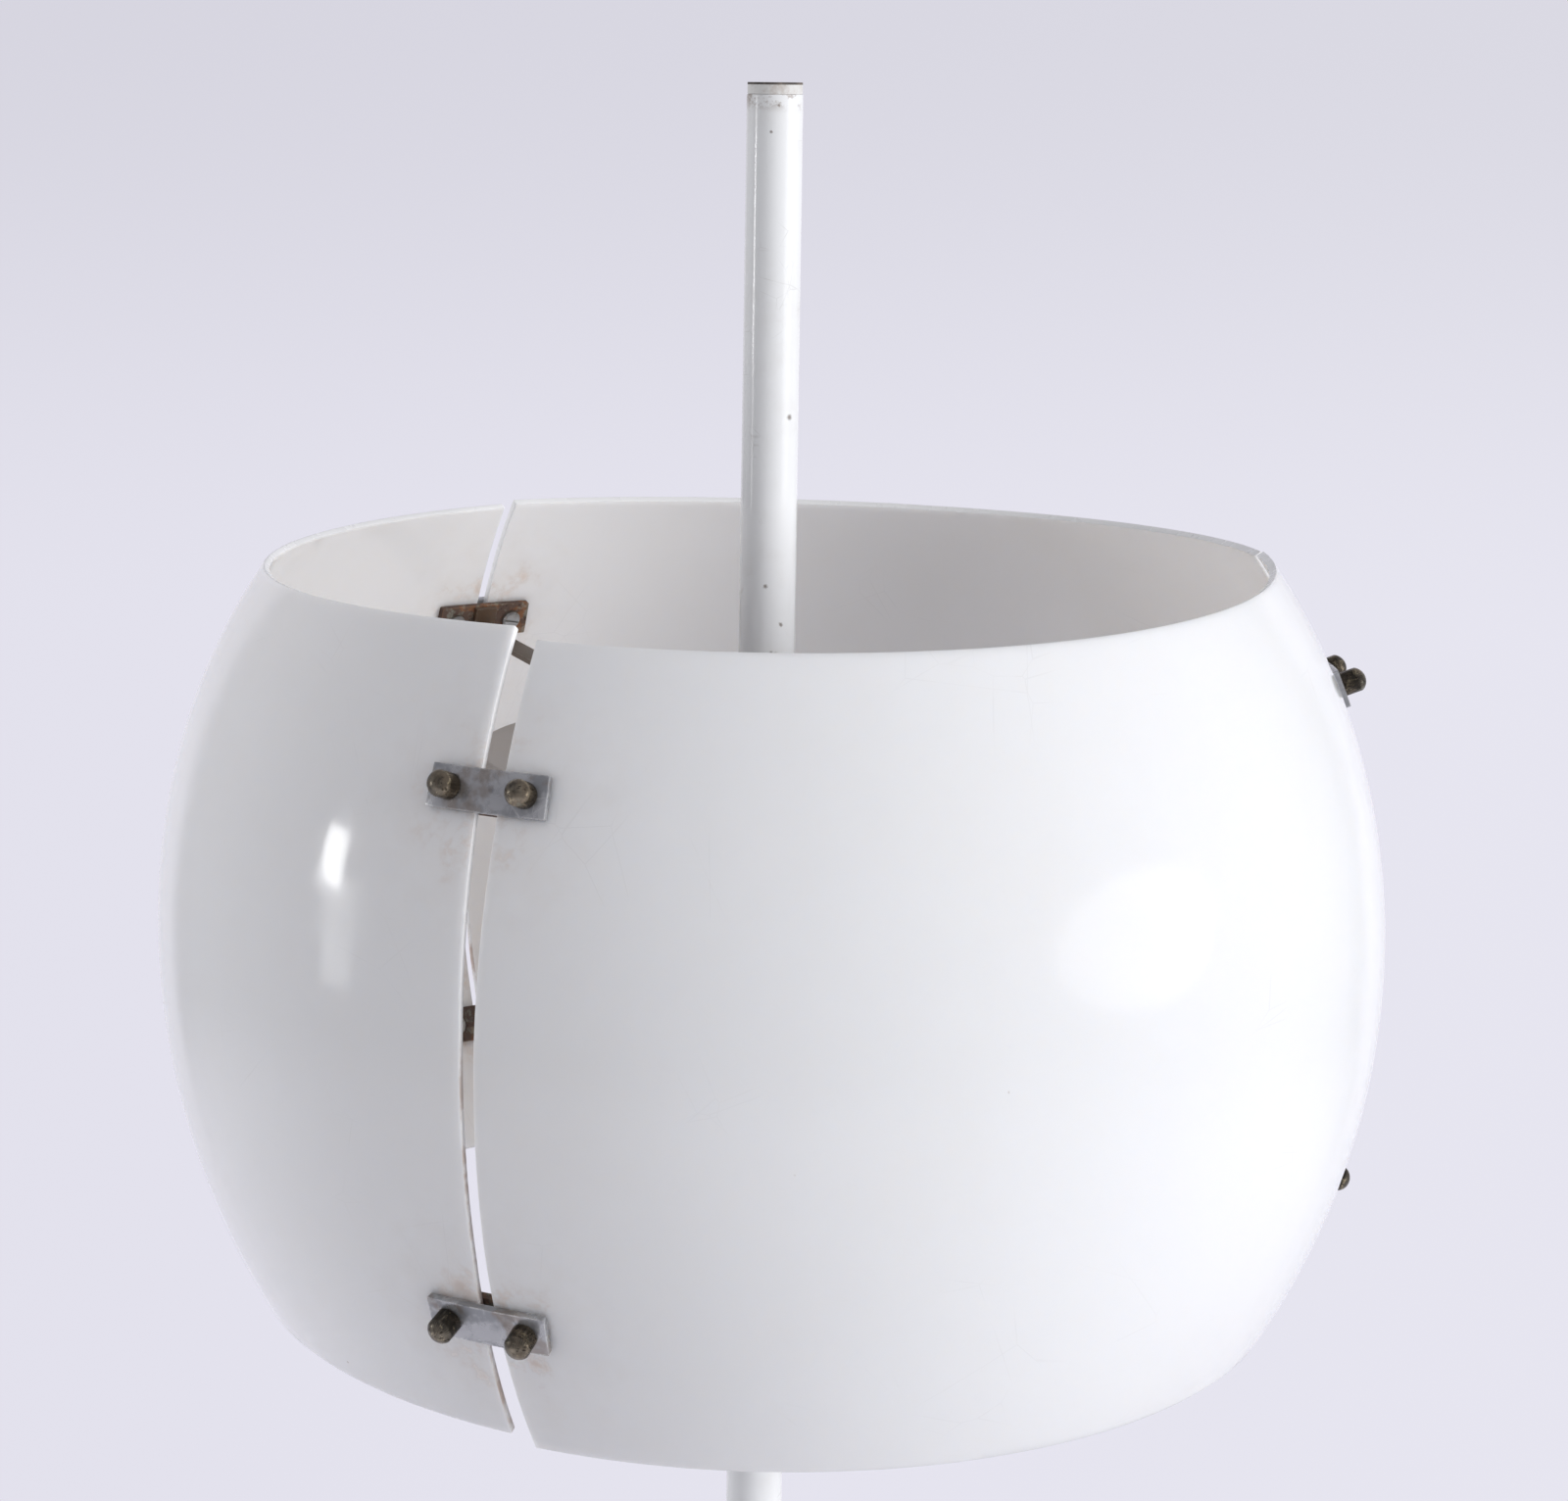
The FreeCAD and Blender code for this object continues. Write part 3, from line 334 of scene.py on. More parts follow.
def addBackdrop():
    # the camera sees a pale backdrop, gloss sees it too but dimmer on the camera's side
    s = studio
    world = bpy.data.worlds.new("paleStudio")
    bpy.context.scene.world = world
    world.use_nodes = True
    tree = world.node_tree
    tree.nodes.clear()
    place = addNode(tree, "ShaderNodeTexCoord")
    split = addNode(tree, "ShaderNodeSeparateXYZ")
    tree.links.new(place.outputs["Generated"], split.inputs[0])
    tint = addNode(tree, "ShaderNodeMix", data_type="RGBA")
    tree.links.new(remap(tree, split.outputs["X"], *s["sideFade"]), tint.inputs["Factor"])
    tint.inputs["A"].default_value = (*s["backLeft"], 1)
    tint.inputs["B"].default_value = (*s["backRight"], 1)
    rays = addNode(tree, "ShaderNodeLightPath")
    wobble = addNode(tree, "ShaderNodeTexNoise")
    wobble.inputs["Scale"].default_value = s["wobbleScale"]
    tree.links.new(place.outputs["Generated"], wobble.inputs["Vector"])
    uneven = mathNode(tree, "SUBTRACT", wobble.outputs["Fac"], 0.5)
    border = mathNode(tree, "ADD", split.outputs["Y"], mathNode(tree, "MULTIPLY", uneven, s["wobble"]))
    behind = remap(tree, border, *s["behindFade"], s["frontDim"], 1.0)
    seen = mathNode(tree, "MAXIMUM", rays.outputs["Is Camera Ray"], rays.outputs["Is Transmission Ray"])
    below = remap(tree, split.outputs["Z"], *s["belowFade"])
    strength = mathNode(tree, "MAXIMUM", mathNode(tree, "MAXIMUM", seen, behind), below)
    backdrop = addNode(tree, "ShaderNodeBackground")
    tree.links.new(tint.outputs["Result"], backdrop.inputs["Color"])
    darker = remap(tree, split.outputs["Z"], *s["topFade"], s["backTop"], 1.0)
    tree.links.new(mathNode(tree, "MULTIPLY", strength, darker), backdrop.inputs["Strength"])
    sky = addNode(tree, "ShaderNodeBackground")
    sky.inputs["Color"].default_value = (*s["skyColour"], 1)
    sky.inputs["Strength"].default_value = s["skyLight"]
    direct = mathNode(tree, "MAXIMUM", seen, rays.outputs["Is Glossy Ray"])
    mix = addNode(tree, "ShaderNodeMixShader")
    tree.links.new(direct, mix.inputs["Fac"])
    tree.links.new(sky.outputs[0], mix.inputs[1])
    tree.links.new(backdrop.outputs[0], mix.inputs[2])
    end = addNode(tree, "ShaderNodeOutputWorld")
    tree.links.new(mix.outputs[0], end.inputs["Surface"])


def addFloor():
    # a pale round floor that fades out into the backdrop
    s = studio
    deselectAll()
    bpy.ops.mesh.primitive_circle_add(vertices=96, radius=s["floorRadius"], fill_type="NGON")
    floor = bpy.context.object
    floor.name = "floor"
    material = bpy.data.materials.new("paleFloor")
    material.use_nodes = True
    tree = material.node_tree
    shader = tree.nodes["Principled BSDF"]
    shader.inputs["Base Color"].default_value = (*s["floorColour"], 1)
    shader.inputs["Roughness"].default_value = 0.7
    away = addNode(tree, "ShaderNodeVectorMath", operation="LENGTH")
    place = addNode(tree, "ShaderNodeTexCoord")
    tree.links.new(place.outputs["Object"], away.inputs[0])
    fade = remap(tree, away.outputs["Value"], *s["floorFade"], 1.0, 0.0)
    tree.links.new(fade, shader.inputs["Alpha"])
    floor.data.materials.append(material)


def addLamp(name, settings):
    data = bpy.data.lights.new(name, "AREA")
    data.shape = settings.get("shape", "RECTANGLE")
    data.size, data.size_y = settings["size"]
    data.energy = settings["power"]
    lamp = bpy.data.objects.new(name, data)
    bpy.context.scene.collection.objects.link(lamp)
    place = Vector(settings["place"])
    turn = (place - Vector((0, 0, studio["aimHeight"]))).to_track_quat("Z", "Y")
    lamp.matrix_world = Matrix.Translation(place) @ turn.to_matrix().to_4x4()
    lamp.visible_camera = False
    lamp.visible_glossy = settings.get("glossy", True)
    lamp.visible_diffuse = settings.get("diffuse", True)


bpy.context.scene.view_settings.view_transform = "Standard"
addCamera()
addBackdrop()
addFloor()
for lampName, lampSettings in lamps.items():
    addLamp(lampName, lampSettings)
print("camera, backdrop, floor and lamps set")


# finishes
class Finish:
    # one material, to which layers of colour, roughness and relief are added one after another
    def __init__(self, name, colour, roughness, metallic=0.0):
        self.material = bpy.data.materials.new(name)
        self.material.use_nodes = True
        self.tree = self.material.node_tree
        self.shader = self.tree.nodes["Principled BSDF"]
        self.shader.inputs["Base Color"].default_value = (*colour, 1)
        self.shader.inputs["Roughness"].default_value = roughness
        self.shader.inputs["Metallic"].default_value = metallic
        self.colour = None
        self.rough = None
        self.plainColour = colour
        self.plainRough = roughness
        self.relief = []

    def group(self, name, **values):
        node = addNode(self.tree, "ShaderNodeGroup", node_tree=groups[name])
        for label, value in values.items():
            node.inputs[label].default_value = value
        return node.outputs[0]

    def objectPlace(self):
        return addNode(self.tree, "ShaderNodeTexCoord").outputs["Object"]

    def noise(self, scale, detail=4, stretch=None, distortion=0.0):
        node = addNode(self.tree, "ShaderNodeTexNoise")
        node.inputs["Scale"].default_value = scale
        node.inputs["Detail"].default_value = detail
        node.inputs["Distortion"].default_value = distortion
        place = self.objectPlace()
        if stretch:
            mapping = addNode(self.tree, "ShaderNodeMapping")
            mapping.inputs["Scale"].default_value = stretch
            self.tree.links.new(place, mapping.inputs["Vector"])
            place = mapping.outputs["Vector"]
        self.tree.links.new(place, node.inputs["Vector"])
        return node.outputs["Fac"]

    def paint(self, mask, colour, strength=1.0):
        # lays a colour over what is there, where the mask is
        mix = addNode(self.tree, "ShaderNodeMix", data_type="RGBA")
        if self.colour is None:
            mix.inputs["A"].default_value = (*self.plainColour, 1)
        else:
            self.tree.links.new(self.colour, mix.inputs["A"])
        mix.inputs["B"].default_value = (*colour, 1)
        self.tree.links.new(mathNode(self.tree, "MULTIPLY", mask, strength, True), mix.inputs["Factor"])
        self.colour = mix.outputs["Result"]

    def roughen(self, mask, amount):
        base = self.plainRough if self.rough is None else self.rough
        more = mathNode(self.tree, "MULTIPLY", mask, amount)
        self.rough = mathNode(self.tree, "ADD", more, base, True)

    def addRelief(self, height, strength, distance=0.001):
        self.relief.append((height, strength, distance))

    def done(self):
        if self.colour is not None:
            self.tree.links.new(self.colour, self.shader.inputs["Base Color"])
        if self.rough is not None:
            self.tree.links.new(self.rough, self.shader.inputs["Roughness"])
        normal = None
        for height, strength, distance in self.relief:
            bump = addNode(self.tree, "ShaderNodeBump")
            bump.inputs["Strength"].default_value = strength
            bump.inputs["Distance"].default_value = distance
            self.tree.links.new(height, bump.inputs["Height"])
            if normal is not None:
                self.tree.links.new(normal, bump.inputs["Normal"])
            normal = bump.outputs["Normal"]
        if normal is not None:
            self.tree.links.new(normal, self.shader.inputs["Normal"])
        return self.material


# what a user would change on the plainer finishes: colour, gloss, dirt, worn edges and grain
finishSettings = {
    "rubber_mat": {
        "colour": (0.045, 0.045, 0.047), "rough": 0.85,
        "dirt": (0.16, 0.15, 0.14), "dirtAmount": 0.5, "dirtScale": 25,
        "relief": (900, 0.35),
    },
    "foot_lacquer": {
        "colour": (0.74, 0.74, 0.76), "rough": 0.24,
        "dirt": (0.52, 0.48, 0.43), "dirtAmount": 0.22, "dirtScale": 12,
        "wear": (0.16, 0.15, 0.14), "wearAmount": 0.55, "wearReach": 0.0012,
        "scratches": 0.35, "relief": (180, 0.05),
    },
    "black_plastic": {
        "colour": (0.028, 0.028, 0.030), "rough": 0.42,
        "dirt": (0.10, 0.095, 0.09), "dirtAmount": 0.4, "dirtScale": 30,
        "wear": (0.11, 0.11, 0.11), "wearAmount": 0.4,
        "relief": (1400, 0.12),
    },
    "button_plastic": {
        "colour": (0.66, 0.65, 0.61), "rough": 0.30,
        "dirt": (0.35, 0.31, 0.25), "dirtAmount": 0.35, "dirtScale": 60,
        "wear": (0.46, 0.42, 0.36), "wearAmount": 0.4,
        "relief": (900, 0.05),
    },
    "screw_steel": {
        "colour": (0.46, 0.46, 0.44), "rough": 0.42, "metal": 1.0,
        "dirt": (0.23, 0.17, 0.12), "dirtAmount": 0.6, "dirtScale": 90,
        "wear": (0.70, 0.70, 0.68), "wearAmount": 0.7,
        "relief": (700, 0.12),
    },
    "chrome_tube": {
        "colour": (0.78, 0.79, 0.81), "rough": 0.07, "metal": 1.0,
        "dirt": (0.45, 0.43, 0.40), "dirtAmount": 0.25, "dirtScale": 35,
        "scratches": 0.4, "relief": (60, 0.01),
    },
    "knob_plastic": {
        "colour": (0.030, 0.030, 0.033), "rough": 0.36,
        "dirt": (0.12, 0.11, 0.10), "dirtAmount": 0.4, "dirtScale": 60,
        "wear": (0.16, 0.155, 0.15), "wearAmount": 0.6,
        "relief": (1300, 0.10),
    },
    "spring_steel": {
        "colour": (0.50, 0.50, 0.50), "rough": 0.28, "metal": 1.0,
        "dirt": (0.24, 0.19, 0.15), "dirtAmount": 0.45, "dirtScale": 120,
        "relief": (500, 0.08),
    },
    "plug_plastic": {
        "colour": (0.66, 0.655, 0.65), "rough": 0.5,
        "dirt": (0.44, 0.38, 0.34), "dirtAmount": 0.6, "dirtScale": 130,
        "wear": (0.80, 0.79, 0.77), "wearAmount": 0.8,
        "relief": (500, 0.5),
    },
    "pad_rubber": {
        "colour": (0.085, 0.075, 0.070), "rough": 0.8,
        "dirt": (0.24, 0.20, 0.17), "dirtAmount": 0.6, "dirtScale": 90,
        "relief": (700, 0.3),
    },
    "collar_steel": {
        "colour": (0.56, 0.56, 0.56), "rough": 0.30, "metal": 1.0,
        "dirt": (0.30, 0.28, 0.26), "dirtAmount": 0.4, "dirtScale": 50,
        "wear": (0.78, 0.78, 0.78), "wearAmount": 0.6,
        "grain": (30, 30, 900), "relief": (300, 0.06),
    },
    # lamp disc and hub: their white lacquer is painted a darker taupe, as painted shade for the dim
    # inside of the lamp shade
    "taupe_lacquer": {
        "colour": (0.38, 0.34, 0.31), "rough": 0.45,
        "dirt": (0.50, 0.44, 0.38), "dirtAmount": 0.45, "dirtScale": 14,
        "wear": (0.20, 0.15, 0.11), "wearAmount": 0.6,
        "scratches": 0.3, "relief": (240, 0.12),
    },
    "strap_steel": {
        "colour": (0.17, 0.14, 0.115), "rough": 0.48, "metal": 0.85,
        "dirt": (0.27, 0.16, 0.09), "dirtAmount": 0.55, "dirtScale": 45,
        "wear": (0.42, 0.39, 0.35), "wearAmount": 0.8,
        "grain": (400, 30, 400), "relief": (350, 0.2),
    },
    "opal_glass": {
        "colour": (0.88, 0.87, 0.83), "rough": 0.16,
        "dirt": (0.66, 0.62, 0.55), "dirtAmount": 0.2, "dirtScale": 25,
        "relief": (30, 0.02),
    },
    "cap_aluminium": {
        "colour": (0.68, 0.68, 0.67), "rough": 0.34, "metal": 1.0,
        "dirt": (0.36, 0.33, 0.30), "dirtAmount": 0.4, "dirtScale": 70,
        "relief": (300, 0.1),
    },
}


def plainFinish(name, settings):
    finish = Finish(name, settings["colour"], settings["rough"], settings.get("metal", 0.0))
    dirt = finish.group("grime", Scale=settings["dirtScale"], Low=0.47, High=0.66)
    finish.paint(dirt, settings["dirt"], settings["dirtAmount"])
    finish.roughen(dirt, 0.18)
    if "scratches" in settings:
        lines = finish.group("scratches", Scale=45, Width=0.012, Amount=settings["scratches"])
        finish.paint(lines, settings["dirt"])
        finish.roughen(lines, 0.25)
        finish.addRelief(lines, -0.2, 0.0002)
    if "wear" in settings:
        worn = finish.group("edgeWear", Reach=settings.get("wearReach", 0.0007), Scale=350,
                            Amount=settings["wearAmount"])
        finish.paint(worn, settings["wear"])
    if "grain" in settings:
        finish.addRelief(finish.noise(1.0, 3, stretch=settings["grain"]), 0.12, 0.0002)
    scale, strength = settings["relief"]
    finish.addRelief(finish.noise(scale, 3), strength, 0.0003)
    return finish.done()


# the shade's acrylic: a painted warm light tint on the inner faces, stains spread from the links, and
# the sheet has scratches, specks and waves
acrylicSettings = {
    "colour": (0.80, 0.80, 0.825),
    "rough": 0.085,
    "yellowed": (0.74, 0.70, 0.64),
    "yellowedAmount": 0.18,
    "inside": (0.80, 0.775, 0.745),      # painted light: the inner faces are tinted warmer, for the light inside the shade
    "innerLightTintAmount": 0.45,
    "halo": (0.56, 0.48, 0.41),
    "haloAmount": 0.12,
    "haloReach": (0.020, 0.062),
    "rust": (0.40, 0.20, 0.085),
    "rustAmount": 0.34,
    "rustReach": (0.012, 0.032),
    "scratch": (0.62, 0.61, 0.62),
    "speck": (0.30, 0.24, 0.19),
    "speckScale": 42,
    "speckSize": (0.035, 0.015),
    "spread": (1.0, 0.92, 0.84),         # how far red, green and blue light spread in the sheet
    "spreadScale": 0.012,
    "edge": (0.90, 0.90, 0.91),
    "edgeRough": 0.22,
    "edgeDirt": (0.36, 0.20, 0.11),
    "edgeDirtHeights": (1.42, 1.34),
}

# heights of the links over the shade's middle, at the right, back left and front left joints
linkHeights = {"upper": (0.104, 0.096, 0.096), "lower": (-0.113, -0.113, -0.113)}


def linkPlaces():
    places = []
    for level in ("upper", "lower"):
        for index, height in enumerate(linkHeights[level]):
            places.append((height, shade["firstJoint"] + 120 * index))
    return places


def facesAxis(finish):
    # mask of the faces that look towards the pole
    flat = addNode(finish.tree, "ShaderNodeVectorMath", operation="MULTIPLY")
    finish.tree.links.new(finish.objectPlace(), flat.inputs[0])
    flat.inputs[1].default_value = (1, 1, 0)
    outward = addNode(finish.tree, "ShaderNodeVectorMath", operation="NORMALIZE")
    finish.tree.links.new(flat.outputs["Vector"], outward.inputs[0])
    place = addNode(finish.tree, "ShaderNodeTexCoord")
    dot = addNode(finish.tree, "ShaderNodeVectorMath", operation="DOT_PRODUCT")
    finish.tree.links.new(outward.outputs["Vector"], dot.inputs[0])
    finish.tree.links.new(place.outputs["Normal"], dot.inputs[1])
    return remap(finish.tree, dot.outputs["Value"], 0.2, -0.4)


def heightOf(finish):
    split = addNode(finish.tree, "ShaderNodeSeparateXYZ")
    finish.tree.links.new(finish.objectPlace(), split.inputs[0])
    return split.outputs["Z"]


def acrylicFinish():
    s = acrylicSettings
    finish = Finish("opalAcrylic", s["colour"], s["rough"])
    # painted light: the faces towards the pole take the warmer inner tint
    finish.paint(facesAxis(finish), s["inside"], s["innerLightTintAmount"])
    cloud = finish.group("grime", Scale=5, Low=0.42, High=0.72)
    finish.paint(cloud, s["yellowed"], s["yellowedAmount"])
    smears = finish.group("grime", Scale=16, Low=0.50, High=0.66)
    finish.roughen(smears, 0.10)
    halo = None
    spot = None
    for height, degrees in linkPlaces():
        centre = wallPlace(height, degrees)
        inner, outer = s["haloReach"]
        wide = finish.group("stain", Centre=centre, Inner=inner, Outer=outer)
        inner, outer = s["rustReach"]
        near = finish.group("stain", Centre=centre, Inner=inner, Outer=outer)
        halo = wide if halo is None else mathNode(finish.tree, "MAXIMUM", halo, wide)
        spot = near if spot is None else mathNode(finish.tree, "MAXIMUM", spot, near)
    finish.paint(halo, s["halo"], s["haloAmount"])
    broken = finish.group("grime", Scale=60, Low=0.44, High=0.62)
    patchy = mathNode(finish.tree, "MULTIPLY", spot, broken)
    finish.paint(patchy, s["rust"], s["rustAmount"])
    finish.roughen(patchy, 0.35)
    lines = finish.group("scratches", Scale=22, Width=0.006, Amount=0.5)
    finish.paint(lines, s["scratch"], 0.5)
    finish.roughen(lines, 0.3)
    finish.addRelief(lines, -0.25, 0.0002)
    cells = addNode(finish.tree, "ShaderNodeTexVoronoi", feature="F1")
    cells.inputs["Scale"].default_value = s["speckScale"]
    finish.tree.links.new(finish.objectPlace(), cells.inputs["Vector"])
    dots = remap(finish.tree, cells.outputs["Distance"], *s["speckSize"])
    picked = remap(finish.tree, finish.noise(31, 2), 0.60, 0.64)
    finish.paint(mathNode(finish.tree, "MULTIPLY", dots, picked), s["speck"], 0.7)
    finish.addRelief(finish.noise(7, 2), 0.10, 0.0012)
    finish.addRelief(finish.noise(45, 2), 0.03, 0.0004)
    finish.shader.inputs["Subsurface Weight"].default_value = 1.0
    finish.shader.inputs["Subsurface Radius"].default_value = s["spread"]
    finish.shader.inputs["Subsurface Scale"].default_value = s["spreadScale"]
    return finish.done()


def acrylicEdgeFinish():
    # the sheet's sawn rims, with rust-brown dirt on their lower part
    s = acrylicSettings
    finish = Finish("opalAcrylicEdge", s["edge"], s["edgeRough"])
    dirt = finish.group("grime", Scale=30, Low=0.44, High=0.60)
    low = remap(finish.tree, heightOf(finish), *s["edgeDirtHeights"])
    finish.paint(mathNode(finish.tree, "MULTIPLY", dirt, low), s["edgeDirt"], 0.6)
    finish.roughen(dirt, 0.3)
    finish.addRelief(finish.noise(300, 3), 0.2, 0.0003)
    return finish.done()


# the pole's lacquer, with a worn top end and chips (place, then inner and outer reach)
poleSettings = {
    "colour": (0.79, 0.80, 0.82),
    "rough": 0.10,
    "dirt": (0.64, 0.62, 0.60),
    "scratch": (0.42, 0.40, 0.39),
    "steel": (0.20, 0.17, 0.15),
    "wornEnd": (0.34, 0.29, 0.26),
    "wornHeights": (1.7345, 1.7425),
    "raggedness": 0.0016,
    "chips": (
        (0.0018, -0.0124, 1.7385, 0.0002, 0.0009),
        (-0.0015, -0.0124, 1.7270, 0.0002, 0.0009),
        (0.0085, -0.0092, 1.6010, 0.0004, 0.0020),
        (-0.0010, -0.0125, 1.5260, 0.0002, 0.0014),
        (0.0060, -0.0110, 1.5090, 0.0002, 0.0013),
        (0.0020, -0.0123, 1.4960, 0.0003, 0.0015),
        (0.0040, -0.0118, 1.4955, 0.0003, 0.0015),
        (-0.0060, 0.0110, 1.2000, 0.0004, 0.0020),
        (0.0070, -0.0104, 0.7400, 0.0004, 0.0022),
        (-0.0090, -0.0087, 0.4300, 0.0005, 0.0024),
    ),
}


def poleFinish():
    s = poleSettings
    finish = Finish("poleLacquer", s["colour"], s["rough"])
    cloud = finish.group("grime", Scale=18, Low=0.48, High=0.70)
    finish.paint(cloud, s["dirt"], 0.3)
    finish.roughen(cloud, 0.12)
    lines = finish.group("scratches", Scale=70, Width=0.02, Amount=0.6)
    finish.paint(lines, s["scratch"], 0.6)
    finish.addRelief(lines, -0.2, 0.0002)
    for x, y, z, inner, outer in s["chips"]:
        away = addNode(finish.tree, "ShaderNodeVectorMath", operation="DISTANCE")
        finish.tree.links.new(finish.objectPlace(), away.inputs[0])
        away.inputs[1].default_value = (x, y, z)
        uneven = mathNode(finish.tree, "SUBTRACT", finish.noise(900, 3), 0.5)
        ragged = mathNode(finish.tree, "MULTIPLY", uneven, s["raggedness"])
        reach = mathNode(finish.tree, "ADD", away.outputs["Value"], ragged)
        finish.paint(remap(finish.tree, reach, outer, inner), s["steel"], 0.85)
    end = remap(finish.tree, heightOf(finish), *s["wornHeights"])
    patches = finish.group("grime", Scale=110, Low=0.46, High=0.56)
    chipped = mathNode(finish.tree, "MULTIPLY", end, patches)
    finish.paint(chipped, s["wornEnd"], 0.8)
    finish.addRelief(chipped, -0.4, 0.0003)
    finish.addRelief(finish.noise(260, 3), 0.07, 0.0003)
    return finish.done()


# metals: plate and nut colours, then layers of dirt and light marks as (colour, amount)
metalSettings = {
    "aluminium": {
        "colour": (0.54, 0.545, 0.56), "rough": 0.25, "metal": 0.66,
        "dark": ((0.22, 0.23, 0.25), 0.65), "brown": ((0.24, 0.17, 0.11), 0.5),
        "scratch": (0.70, 0.70, 0.70), "edge": (0.92, 0.92, 0.91),
    },
    "rust": {
        "colour": (0.13, 0.085, 0.065), "rough": 0.72, "metal": 0.25,
        "orange": ((0.30, 0.13, 0.055), 0.75), "green": ((0.34, 0.36, 0.30), 0.6),
        "black": ((0.06, 0.04, 0.035), 0.8), "edge": (0.46, 0.24, 0.10),
    },
    "brass": {
        "colour": (0.24, 0.195, 0.14), "rough": 0.19, "metal": 0.88,
        "dark": ((0.062, 0.058, 0.049), 0.88), "bright": ((0.66, 0.56, 0.36), 0.45),
        "green": ((0.30, 0.33, 0.27), 0.4), "edge": (0.56, 0.49, 0.37),
    },
}


def aluminiumFinish():
    # satin plates with brown smears, dark patches and rubbed edges
    s = metalSettings["aluminium"]
    finish = Finish("linkAluminium", s["colour"], s["rough"], s["metal"])
    finish.addRelief(finish.noise(1.0, 4, stretch=(60, 60, 900)), 0.10, 0.0002)
    cloud = finish.group("grime", Scale=55, Low=0.43, High=0.56)
    finish.paint(cloud, *s["dark"])
    finish.roughen(cloud, 0.14)
    finish.paint(finish.group("grime", Scale=38, Low=0.50, High=0.60), *s["brown"])
    finish.paint(finish.group("scratches", Scale=110, Width=0.03, Amount=0.7), s["scratch"])
    finish.paint(finish.group("edgeWear", Reach=0.0011, Scale=250, Amount=0.9), s["edge"])
    finish.addRelief(finish.noise(500, 4), 0.10, 0.0002)
    return finish.done()


def rustFinish():
    # pitted inner plates: orange and black rust with a pale greenish crust
    s = metalSettings["rust"]
    finish = Finish("rustySteel", s["colour"], s["rough"], s["metal"])
    finish.paint(finish.group("grime", Scale=110, Low=0.48, High=0.60), *s["orange"])
    finish.paint(finish.group("grime", Scale=75, Low=0.50, High=0.60), *s["green"])
    finish.paint(finish.group("grime", Scale=170, Low=0.54, High=0.62), *s["black"])
    finish.paint(finish.group("edgeWear", Reach=0.0006, Scale=300, Amount=0.6), s["edge"])
    finish.addRelief(finish.noise(420, 6), 0.7, 0.0006)
    return finish.done()


def brassFinish():
    # dark tarnish over brass, with bright specks and a little green
    s = metalSettings["brass"]
    finish = Finish("tarnishedBrass", s["colour"], s["rough"], s["metal"])
    cloud = finish.group("grime", Scale=70, Low=0.38, High=0.57)
    finish.paint(cloud, *s["dark"])
    finish.roughen(cloud, 0.12)
    finish.paint(finish.group("grime", Scale=230, Low=0.57, High=0.62), *s["bright"])
    finish.paint(finish.group("grime", Scale=80, Low=0.57, High=0.64), *s["green"])
    finish.paint(finish.group("edgeWear", Reach=0.0007, Scale=300, Amount=0.5), s["edge"])
    finish.addRelief(finish.noise(600, 4), 0.06, 0.0003)
    return finish.done()


def glossBulbs(material):
    # the opal bulbs are opaque here, with a glossy coat
    shader = material.node_tree.nodes["Principled BSDF"]
    shader.inputs["Coat Weight"].default_value = 0.4
    shader.inputs["Coat Roughness"].default_value = 0.05


finishes = {name: plainFinish(name, settings) for name, settings in finishSettings.items()}
finishes["opal_acrylic"] = acrylicFinish()
finishes["pole_lacquer"] = poleFinish()
finishes["link_aluminium"] = aluminiumFinish()
finishes["rusty_steel"] = rustFinish()
finishes["nut_brass"] = brassFinish()
glossBulbs(finishes["opal_glass"])
acrylicEdge = acrylicEdgeFinish()
slotOf = {part["node"]: part["material_slot"] for part in frame["record"]["subparts"]}
print("finishes made:", len(finishes) + 1)


def dressNode(piece, material):
    piece.data.materials.clear()
    piece.data.materials.append(material)


for nodeName, node in cadNodes.items():
    dressNode(node, finishes[slotOf[nodeName]])
print("CAD nodes dressed")


# shade panels
panelSettings = {
    "names": ("panel_back", "panel_left", "panel_front"),
    "lift": (0.0033, 0.0, 0.0008),
    "slope": (-0.5, 0.0, 1.6),
    "arcVertices": 400,
    "spinSteps": 110,
    "overrun": 0.012,        # the arcs run past the rims by this before the rims are cut
    "merge": (0.0002, 0.00002),
    "dipFrom": 0.05,         # the rim's dip grows from this height upwards
    "bevel": 0.0014,
}

# heights and widths of the three open joints: right, back left, front left
jointWidths = (
    ((-0.182, 0.0066), (-0.130, 0.0046), (-0.078, 0.0038),
     (0.0, 0.0040), (0.080, 0.0056), (0.171, 0.0080)),
    ((-0.182, 0.0066), (-0.130, 0.0046), (-0.078, 0.0038),
     (0.0, 0.0040), (0.080, 0.0052), (0.171, 0.0060)),
    ((-0.182, 0.0098), (-0.115, 0.0070), (-0.085, 0.0058), (-0.043, 0.0060),
     (0.0, 0.0064), (0.043, 0.0080), (0.105, 0.0106), (0.171, 0.0112)),
)


